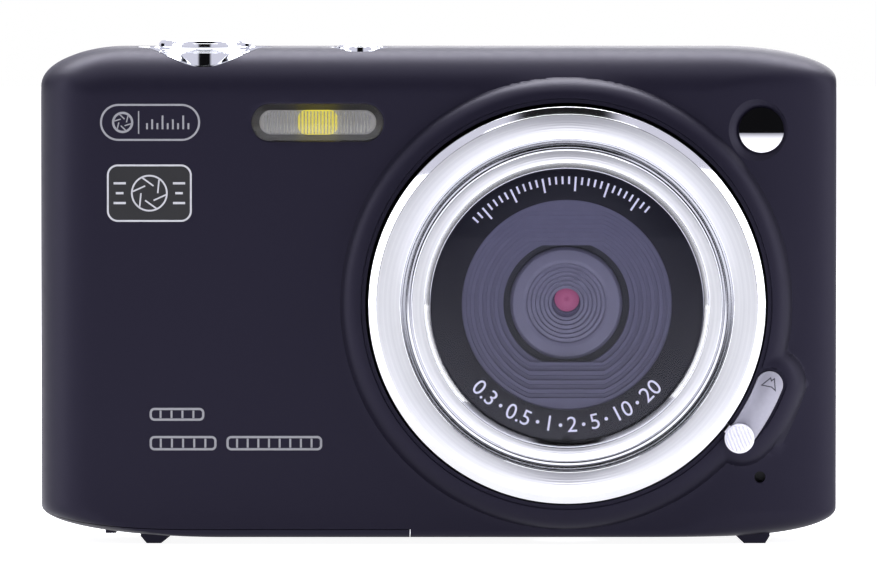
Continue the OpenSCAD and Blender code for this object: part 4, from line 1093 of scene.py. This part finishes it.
def bowl(name, place, r_in, r_out, z_in, floor, node):
    """A bezel whose top runs from z_in at its inner rim up to the case top at its outer rim, as s ** 1.5."""
    t = np.linspace(0, 2 * math.pi, 160, endpoint=False)
    s = np.concatenate([[0.0], np.linspace(0.03, 0.93, 16), [0.97, 1.0]])[:, None]
    r = r_in + (r_out - r_in) * s
    x, y = place[0] + r * np.cos(t), place[1] + r * np.sin(t)
    edge = case_top(place[0] + r_out * np.cos(t), place[1] + r_out * np.sin(t)) + 0.05
    z = z_in + (edge - z_in) * s ** 1.5
    z = z - 0.07 * smooth(0.95, 1.0, s) - 0.08 * smooth(0.03, 0.0, s)
    rings = [np.stack([x[k], y[k], z[k]], -1) for k in range(len(s))]
    for rr, zz in ((r_out, floor), (r_in, floor)):
        rings.append(np.stack([place[0] + rr * np.cos(t), place[1] + rr * np.sin(t),
                               np.full_like(t, zz)], -1))
    piece = mesh_of(name, np.concatenate(rings), grid_faces(len(rings), 160, True, True), chrome, 30)
    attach(piece, "camera")
    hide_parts(node)


bowl("shutter_bowl", SHUTTER, 6.22, 8.86, 62.75, 61.25, "shutter_bezel")
bowl("power_bowl", POWER, 3.12, 4.1, 63.9, 62.45, "power_bezel")
BUTTON_TOP = in_mm(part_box("shutter_button"))[1][2]
dish = [(5.3 * v, BUTTON_TOP - 0.32 + 0.3 * v * v) for v in np.linspace(0, 1, 12)]
shutter_profile = dish + [(5.75, 66.27), (6.1, 65.85), (6.1, 65.1), (5.9, 64.95), (5.9, 64.8),
                          (6.1, 64.65), (6.1, 62.6), (7, 62.6), (7, 61.95), (0.0, 61.95)]
shutter = turned("shutter_button_plated", eased(shutter_profile, 0.08), SHUTTER, "z", chrome, 160, 35)
power_profile = [(0.0, 65.62), (2.2, 65.7), (2.72, 65.68), (3.0, 65.4), (3.0, 63.2), (3.6, 63.2),
                 (3.6, 62.7), (0.0, 62.7)]
power = turned("power_button_plated", eased(power_profile, 0.1), POWER, "z", chrome, 128, 35)
ring_t = np.linspace(math.radians(125), math.radians(415), 48)
power_sign = [np.stack([POWER[0] + 1.15 * np.cos(ring_t), POWER[1] + 1.15 * np.sin(ring_t)], -1),
              np.array([[POWER[0], POWER[1] + 0.55], [POWER[0], POWER[1] + 1.7]])]


def turned_up(piece):
    """A printed line made facing -Y laid over to face up: (x, y, z) becomes (x, z, -y)."""
    points = np.empty(len(piece.data.vertices) * 3)
    piece.data.vertices.foreach_get("co", points)
    x, y, z = points.reshape(-1, 3).T
    piece.data.vertices.foreach_set("co", np.stack([x, z, -y], -1).ravel())
    piece.data.flip_normals()
    return piece


power_marks = joined("power_sign", [turned_up(ribbon("sign", path, 0.24, -65.72, dark_ink, False, 0.06))
                                    for path in power_sign])
for piece, body, node in ((shutter, "shutter_button", "shutter_button"),
                          (power, "power_button", "power_button"),
                          (power_marks, "power_button", "power_button")):
    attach(piece, body)
    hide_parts(node)

# ---- Rear cover ---------------------------------------------------------------------------------
# The back half of the case, moulded ABS with a fine spark-eroded texture and a soft rounded rim. It
# has a shallow seat for the screen, flared key openings and four screw tabs reaching forward.
# Moulded ABS with a spark-eroded grain: unpainted, so it is duller and more even than the front
rear_abs = grained("moulded_abs_fine_texture", "#1c1b21", "#19181d", 0.22, 0.012, Roughness=0.5)
REAR_CENTRE = (0.0, 33.0)
RIM, REAR_WALL = 3.0, 1.5
phi = ray_angles(640, REAR_CENTRE)
rear_loops = []


def rear_loop(draw_in, y, part=1.0):
    """Adds one loop of the cover: the outline drawn in, scaled by part towards the middle, at y."""
    r = ray_reach(phi, REAR_CENTRE, draw_in) * part
    rear_loops.append(np.stack([REAR_CENTRE[0] + r * np.cos(phi), np.full_like(phi, y),
                                REAR_CENTRE[1] + r * np.sin(phi)], -1))


for draw_in, y in ((0.35, SPLIT + 0.02), (0.12, SPLIT + 0.02), (0.0, SPLIT + 0.16)):
    rear_loop(draw_in, y)
for a in np.linspace(0, math.pi / 2, 14):
    rear_loop(RIM * (1 - math.cos(a)), REAR - RIM * (1 - math.sin(a)))
for part in (0.9, 0.5, 0.0):
    rear_loop(RIM, REAR, part)
for part in (0.0, 0.5, 0.97):
    rear_loop(WALL + 0.4, REAR - REAR_WALL, part)
rear_loop(WALL, REAR - REAR_WALL - 0.6)
rear_loop(WALL, SPLIT + 0.02)
cover = mesh_of("rear_cover_skin", np.concatenate(rear_loops),
                grid_faces(len(rear_loops), len(phi), True, True), rear_abs, 40)
screen_low, screen_high = in_mm(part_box("screen_window"))
SCREEN = centre_of((screen_low, screen_high), 0, 2)
SCREEN_SIZE = (screen_high[0] - screen_low[0], screen_high[2] - screen_low[2])


def rear_lip(size, floor):
    """Cutter levels for a hole facing +Y: a straight wall, then a quarter-round flare to the rear face."""
    t = np.linspace(0, math.pi / 2, 6)
    flare = [(-size * (1 - math.cos(a)), REAR - size + size * math.sin(a)) for a in t]
    return [(0.0, floor)] + flare + [(-size, REAR + 1.5)]


KEYS = {name: in_mm(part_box(name)) for name in (
    "zoom_wide_key", "zoom_tele_key", "mode_key", "menu_key", "playback_key")}
KEY_FLANGE = 0.6
NAV = (-33.0, 32.0)
LAMP_R = 0.85
lamp_low, lamp_high = in_mm(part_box("status_lamp"))
LAMP = centre_of((lamp_low, lamp_high), 0, 2)


def key_shape(name):
    """Centre, width and height of a pill key's face: its CAD box less the flange all round."""
    size = KEYS[name][1] - KEYS[name][0]
    return centre_of(KEYS[name], 0, 2), size[0] - 2 * KEY_FLANGE, size[2] - 2 * KEY_FLANGE


rear_cuts = [stacked("cut_screen", rounded(SCREEN_SIZE[0] + 0.2, SCREEN_SIZE[1] + 0.2, 0.7),
                     [(0, REAR - 0.82), (0, REAR - 0.1), (-0.12, REAR + 0.02), (-0.12, REAR + 1)], SCREEN, "y",
                     rear_abs),
             stacked("cut_nav", circle(9.75, 110), rear_lip(0.25, SPLIT), NAV, "y", rear_abs),
             stacked("cut_lamp", circle(0.9, 32), rear_lip(0.12, SPLIT), LAMP, "y", rear_abs)]
for name in KEYS:
    place, wide, tall = key_shape(name)
    rear_cuts.append(stacked("cut_" + name, rounded(wide + 0.3, tall + 0.3, tall / 2 + 0.14, 22),
                             rear_lip(0.2, SPLIT), place, "y", rear_abs))
cover = carved(cover, joined("rear_cuts", rear_cuts), angle=30)
tabs = [stacked(f"rear_tab_{side}_{z:.0f}", rounded(5.4, 4.0, 0.5),
                [(0.1, side * 49.45), (0, side * 49.6), (0, side * 50.6), (0.1, side * 50.75)],
                (10.3, z), "x", rear_abs) for side in (-1, 1) for z in SCREW_Z]
cover = joined("rear_cover_skin", [cover] + tabs)
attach(cover, "camera")
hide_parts("rear_cover")

# ---- Screen window ------------------------------------------------------------------------------
# Hard-coated acrylic, printed black behind round its border; the darker blue-grey middle is the
# liquid-crystal panel showing through.
screen_mat, tree, shader = surface("hard_coated_acrylic_screen", "#08080b", Roughness=0.05, Coat_Weight=1.0,
                                   Coat_Roughness=0.02)
coords = add(tree, "ShaderNodeTexCoord")
split = add(tree, "ShaderNodeSeparateXYZ", None, {0: coords.outputs["Object"]})
ACTIVE = (55.4, 41.6)
sides = []
for axis, middle, half in (("X", SCREEN[0], ACTIVE[0] / 2), ("Z", SCREEN[1], ACTIVE[1] / 2)):
    shifted = add(tree, "ShaderNodeMath", {1: middle * MM}, {0: split.outputs[axis]}, operation="SUBTRACT")
    away = add(tree, "ShaderNodeMath", None, {0: shifted.outputs[0]}, operation="ABSOLUTE")
    within = add(tree, "ShaderNodeMath", {1: half * MM}, {0: away.outputs[0]}, operation="LESS_THAN")
    sides.append(within.outputs[0])
inside = add(tree, "ShaderNodeMath", None, {0: sides[0], 1: sides[1]}, operation="MULTIPLY")
tint = add(tree, "ShaderNodeMix", {6: linear("#060608"), 7: linear("#15181f")}, {0: inside.outputs[0]},
           data_type="RGBA")
tree.links.new(tint.outputs[2], shader.inputs["Base Color"])
smudge = add(tree, "ShaderNodeTexNoise", {"Scale": 60.0, "Detail": 4.0}, {"Vector": coords.outputs["Object"]})
wipe = add(tree, "ShaderNodeMapRange", {"From Min": 0.35, "From Max": 0.75, "To Min": 0.03, "To Max": 0.1},
           {"Value": smudge.outputs["Fac"]})
tree.links.new(wipe.outputs[0], shader.inputs["Roughness"])
screen = stacked("screen_window_glass", rounded(SCREEN_SIZE[0], SCREEN_SIZE[1], 0.6),
                 [(0, screen_low[1]), (0, screen_high[1] - 0.12), (0.04, screen_high[1] - 0.04),
                  (0.14, screen_high[1])], SCREEN, "y", screen_mat)
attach(screen, "camera")
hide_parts("screen_window")

# ---- Rear keys ----------------------------------------------------------------------------------
# Satin ABS keys with a soft edge, held behind the cover by a flange. Their signs are pad-printed:
# minus and plus for the zoom, a dial, three bars, a play sign, four arrows and a ring.
# Satin ABS, smoother than the cover round it; the key ink is a soft white that does not shine
key_abs = grained("moulded_satin_abs", "#2b2a32", "#26252d", 0.18, 0.006, Roughness=0.36)
key_ink = grained("pad_printed_key_white", "#c4c4ca", "#b6b6bd", 0.12, 0.003, Roughness=0.45)
KEY_Y = KEYS["mode_key"][1][1]


def key_levels(foot):
    """Levels of a key: flange, stem of the face, then a soft edge and a flat top."""
    return [(-foot, 11.9), (-foot, 12.78), (0.0, 12.8), (0.0, KEY_Y - 0.26), (0.05, KEY_Y - 0.1),
            (0.14, KEY_Y - 0.03), (0.3, KEY_Y)]


def key_sign(paths, width=0.3):
    """Printed lines on a key's face, from (path, closed) pairs."""
    return [ribbon("sign", path, width, KEY_Y - 0.01, key_ink, closed) for path, closed in paths]


def placed_key(name, body, parts):
    """Joins a key with its signs and fixes them to the key's body."""
    key = joined(name + "_cap", parts)
    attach(key, body)
    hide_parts(name)


bar = np.array([(-0.9, 0), (0.9, 0)])
triangle = np.array([(-0.45, -0.6), (0.65, 0), (-0.45, 0.6)])
play = triangle * np.array([-1, 1])
signs = {"zoom_wide_key": [(bar, False)], "zoom_tele_key": [(bar, False), (bar[:, ::-1], False)],
         "mode_key": [(circle(1.1, 32)(), True), (circle(0.3, 16)(), True)],
         "menu_key": [(bar, False), (bar + (0, 0.75), False), (bar - (0, 0.75), False)],
         "playback_key": [(play[::-1], True), (rounded(3.0, 2.3, 0.5)(), True)]}
for name, lines in signs.items():
    place, wide, tall = key_shape(name)
    cap = stacked(name, rounded(wide, tall, tall / 2 - 0.01, 22), key_levels(0.55), place, "y", key_abs, 40)
    placed_key(name, name, [cap] + key_sign([(at(path, *place), closed) for path, closed in lines]))


def quarter(turn, r0=4.5, r1=9.6, half=43.5):
    """Outline function of a quarter ring facing the angle turn, its corners drawn in with its sides."""
    def outline(inset=0.0):
        a, b = r0 + inset, r1 - inset
        outer_half, inner_half = (math.radians(half) - (inset + 0.02) / r for r in (b, a))
        u = np.linspace(-1, 1, 40)
        outer, inner = turn + outer_half * u, turn + inner_half * u[::-1]
        return np.concatenate([b * np.stack([np.cos(outer), np.sin(outer)], -1),
                               a * np.stack([np.cos(inner), np.sin(inner)], -1)])
    return outline


for name, turn in (("nav_right_key", 0), ("nav_up_key", 90), ("nav_left_key", 180), ("nav_down_key", 270)):
    turn = math.radians(turn)
    cap = stacked(name, quarter(turn), [(0.0, 13.2)] + key_levels(0.0)[3:], NAV, "y", key_abs, 40)
    c, s = math.cos(turn), math.sin(turn)
    arrow = at(triangle @ np.array([[c, s], [-s, c]]), NAV[0] + 7.2 * c, NAV[1] + 7.2 * s)
    placed_key(name, name, [cap] + key_sign([(arrow, True)]))
ok_cap = stacked("ok_key", circle(4.1, 90), key_levels(0.9), NAV, "y", key_abs, 40)
placed_key("ok_key", "ok_key", [ok_cap] + key_sign([(at(circle(1.2, 40)(), *NAV), True)]))

# Tinted polycarbonate: a light guide, clear green with a low glow
lamp_clear = grained("tinted_polycarbonate_light_guide", "#5fc873", "#54ba68", 0.4, 0.003, Roughness=0.12,
                     Transmission_Weight=0.4, Emission_Color=linear("#60d070"), Emission_Strength=0.15)
u = np.linspace(0, 1, 8)
lamp = turned("status_lamp_dome", [(LAMP_R * 0.97 * v, lamp_high[1] - 0.14 * v * v) for v in u] +
              [(LAMP_R * 0.97, lamp_low[1] + 0.02), (0.0, lamp_low[1] + 0.02)], LAMP, "y", lamp_clear, 48, 40)
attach(lamp, "camera")
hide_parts("status_lamp")

# ---- Battery door -------------------------------------------------------------------------------
# A moulded door, painted like the case, which is its underside from the left end to the seam. It
# turns on two knuckles round a steel pin, and carries the left foot, three ribs and a snap catch.
DOOR_CENTRE = (-10.0, 20.0)
door_rays = ray_angles(500, DOOR_CENTRE)
door_reach = ray_reach(door_rays, DOOR_CENTRE)
door_loops = []
for part in np.concatenate([[0.0], 1 - (1 - np.linspace(0, 1, 40)[1:]) ** 2.2]):
    r = door_reach * part
    x, z = DOOR_CENTRE[0] + r * np.cos(door_rays), DOOR_CENTRE[1] + r * np.sin(door_rays)
    door_loops.append(np.stack([x, FRONT + roll_depth(x, z), z], -1))
for part in (1.0, 0.0):
    r = door_reach * part
    x, z = DOOR_CENTRE[0] + r * np.cos(door_rays), DOOR_CENTRE[1] + r * np.sin(door_rays)
    door_loops.append(np.stack([x, np.full_like(r, DOOR_REAR + 1), z], -1))
door = mesh_of("battery_door_skin", np.concatenate(door_loops),
               grid_faces(len(door_loops), len(door_rays), False, True), paint, 40)
door = carved(door, slab_y("door_space", door_profile(0.0, DOOR_END), -12, DOOR_REAR, paint), "INTERSECT", 30)
left_foot = slab_y("foot", [(-38.5, 0), (-36.6, 0), (-35.4, 0.95), (-35.4, 1.7), (-39.3, 1.7), (-39.3, 0.95)],
                   FOOT_Y[0], FOOT_Y[1], paint)
door_parts = [door, left_foot]
for x in (-44, -32, -20):
    door_parts.append(stacked("rib", rounded(1.4, 4.2, 0.3), [(0, BASE + 0.3), (0, 4.9), (0.25, 5.2)],
                              (x + 0.7, -1.5), "z", paint))
door_parts.append(stacked("catch", rounded(6.0, 1.0, 0.2),
                          [(0, BASE + 0.3), (0, 3.7), (0, 3.9), (0.2, 4.2)], (-24, -5.7), "z", paint))
for x in KNUCKLES:
    sleeve = [(0.56, x), (1.25, x), (1.25, x + KNUCKLE_W), (0.56, x + KNUCKLE_W)]
    knuckle = turned("knuckle", eased(sleeve, 0.12), (PIN_Y, PIN_Z), "x", paint, 48)
    arm = stacked("arm", rounded(2.1, 0.95, 0.1),
                  [(0.05, x + 0.02), (0, x + 0.1), (0, x + KNUCKLE_W - 0.1), (0.05, x + KNUCKLE_W - 0.02)],
                  (DOOR_REAR + 0.55, BASE + 0.48), "x", paint)
    door_parts += [knuckle, arm]
door = joined("battery_door_skin", door_parts)
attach(door, "battery_door")
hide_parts("battery_door")

# ---- Steel fittings -----------------------------------------------------------------------------
# Plated steel: the tripod bush with its inch thread, the strap eyelet, the USB socket's drawn shell,
# and four cross-head case screws.
# Nickel-plated steel: a warm bright metal, softer than the chrome
steel = grained("nickel_plated_steel", "#c3c5ca", "#b4b6bc", 0.3, 0.003, 0.06, Metallic=1.0, Roughness=0.26)
THREAD_PITCH, MINOR, MAJOR = 1.27, 2.62, 3.1
thread = []
for k in range(4):
    z = 1.35 + k * THREAD_PITCH
    thread += [(MINOR, z), (MAJOR, z + 0.5), (MAJOR, z + 0.62), (MINOR, z + 1.12)]
bush_profile = [(3.2, 0.78), (4.2, 0.78), (4.2, 7.0), (0.0, 7.0), (0.0, 6.25), (MINOR, 6.25)] + thread[::-1]
bush = turned("tripod_bush", eased(bush_profile, 0.06), TRIPOD, "z", steel, 96, 25)
lug = stacked("lug_pocket", rounded(4.9, 8.9, 0.75),
              [(0, lug_low[0]), (0, lug_high[0] - 0.1), (0.1, lug_high[0])], LUG, "x", steel)
lug = carved(lug, stacked("cut_pocket", rounded(4.0, 8.0, 1.2),
                          [(0.4, lug_low[0] + 0.5), (0.0, lug_low[0] + 0.9), (0, lug_high[0] - 0.2),
                           (-0.15, lug_high[0] + 0.05), (-0.15, lug_high[0] + 1)],
                          LUG, "x", steel), angle=35)
bar_x = RIGHT - 1.3
bar_profile = [(0.0, LUG[1] - 4.2), (1.1, LUG[1] - 4.2), (0.8, LUG[1] - 3.9), (0.65, LUG[1] - 3.4),
               (0.65, LUG[1] + 3.4), (0.8, LUG[1] + 3.9), (1.1, LUG[1] + 4.2), (0.0, LUG[1] + 4.2)]
eyelet = turned("lug_bar", bar_profile, (bar_x, LUG[0]), "z", steel, 40, 40)
lug = joined("strap_eyelet", [lug, eyelet])
usb = stacked("usb_shell", rounded(3.2, 9.0, 1.2),
              [(0, usb_low[0]), (0, usb_high[0] - 0.06), (0.06, usb_high[0])], USB, "x", steel)
usb = carved(usb, stacked("cut_usb_mouth", rounded(2.56, 8.34, 1.1),
                          [(0, usb_low[0] + 1.4), (0, usb_high[0] - 0.15), (-0.15, usb_high[0] + 0.02),
                           (-0.15, usb_high[0] + 1)],
                          USB, "x", steel), angle=35)
# Moulded nylon is dull and dark; the gold on the springs and pads is warm and clean
tongue_plastic = grained("moulded_black_nylon", "#1b1b1e", "#17171a", 0.15, 0.004, Roughness=0.45)
gold = grained("gold_plated_spring", "#d9b25c", "#c9a048", 0.2, 0.002, Metallic=1.0, Roughness=0.24)
tongue = stacked("usb_tongue", rounded(0.7, 6.6, 0.2),
                 [(0, usb_low[0] + 1.3), (0, usb_high[0] - 1.9), (0.15, usb_high[0] - 1.7)],
                 USB, "x", tongue_plastic)
pads = [stacked("usb_pad", rounded(0.78, 0.32, 0.05), [(0, usb_low[0] + 2.2), (0, usb_high[0] - 2.3)],
                (USB[0], USB[1] + 0.6 * k), "x", gold) for k in range(-4, 5)]
usb = joined("usb_socket_shell", [usb, tongue] + pads)
screws = []
for side in (-1, 1):
    for z in SCREW_Z:
        head_x = side * (RIGHT - 0.15)
        profile = [(0.0, head_x), (0.8, head_x - side * 0.05), (1.12, head_x - side * 0.22),
                   (1.18, head_x - side * 0.4), (1.18, side * (RIGHT - 1.05)), (0.55, side * (RIGHT - 1.05)),
                   (0.55, side * 49.3), (0.0, side * 49.2)]
        screw = turned("case_screw", profile, (SCREW_Y, z), "x", steel, 48, 30)
        ends = sorted((head_x + side * 0.3, head_x - side * 0.42))
        arms = [stacked("cut_cross", rounded(w, h, 0.1), [(0, ends[0]), (0, ends[1])], (SCREW_Y, z), "x",
                        steel) for w, h in ((1.5, 0.36), (0.36, 1.5))]
        for arm in arms:
            screw = carved(screw, arm, angle=30)
        screws.append(screw)
screws = joined("case_screws_cross", screws)
for piece, node in ((bush, "tripod_socket"), (lug, "strap_lug"), (usb, "usb_socket"),
                    (screws, "case_screws")):
    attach(piece, "camera")
    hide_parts(node)

# ---- Inner parts --------------------------------------------------------------------------------
# The frame, boards, sensor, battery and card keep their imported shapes. Each gets the finish of what
# it is made of: grain on plastics and epoxy, a clean sheen on film, wrap and filter.
nylon = grained("glass_filled_nylon", "#34363a", "#2c2e32", 0.25, 0.01, Roughness=0.6)
chip_epoxy = grained("moulded_chip_epoxy", "#1d1f22", "#26282c", 0.1, 0.004, Roughness=0.55)
filter_coat = grained("coated_filter_glass", "#8fb4c6", "#9fbfd0", 2.0, 0.001, Roughness=0.05,
                      Transmission_Weight=0.8)
cell_wrap = grained("printed_film_wrap", "#d3d3cc", "#c8c8c1", 0.5, 0.01, Roughness=0.38)
card_shell = grained("moulded_polycarbonate_card", "#1f2630", "#252d38", 0.15, 0.006, Roughness=0.45)
panel_film = grained("liquid_crystal_panel_film", "#121419", "#171a20", 0.3, 0.002, Roughness=0.2)
# Solder mask over glass epoxy: green, with lighter lines 0.6 mm apart where copper runs beneath
mask_green, tree, shader = surface("solder_masked_glass_epoxy", "#144a30", Roughness=0.32)
coords = add(tree, "ShaderNodeTexCoord")
runs = add(tree, "ShaderNodeTexBrick", {"Color1": linear("#1d5a3a"), "Color2": linear("#164e32"),
                                        "Mortar": linear("#0f3d26"), "Scale": 1.0, "Mortar Size": 0.00012,
                                        "Brick Width": 0.0042, "Row Height": 0.0006},
           {"Vector": add(tree, "ShaderNodeMapping", {"Rotation": (math.pi / 2, 0, 0)},
                          {"Vector": coords.outputs["Object"]}).outputs[0]})
tree.links.new(runs.outputs["Color"], shader.inputs["Base Color"])
relief = add(tree, "ShaderNodeBump", {"Strength": 0.4, "Distance": 0.00003}, {"Height": runs.outputs["Fac"]})
tree.links.new(relief.outputs[0], shader.inputs["Normal"])
finish_of = {"frame_plastic": nylon, "circuit_board": mask_green, "chip": chip_epoxy, "gold": gold,
             "steel": steel, "coated_glass": coated, "filter_glass": filter_coat, "battery_wrap": cell_wrap,
             "card_plastic": card_shell, "screen_panel": panel_film}
for part in frame["record"]["subparts"]:
    mat = finish_of.get(part["material_slot"])
    if mat:
        for holder in frame["nodes"][part["node"]].material_slots:
            holder.material = mat
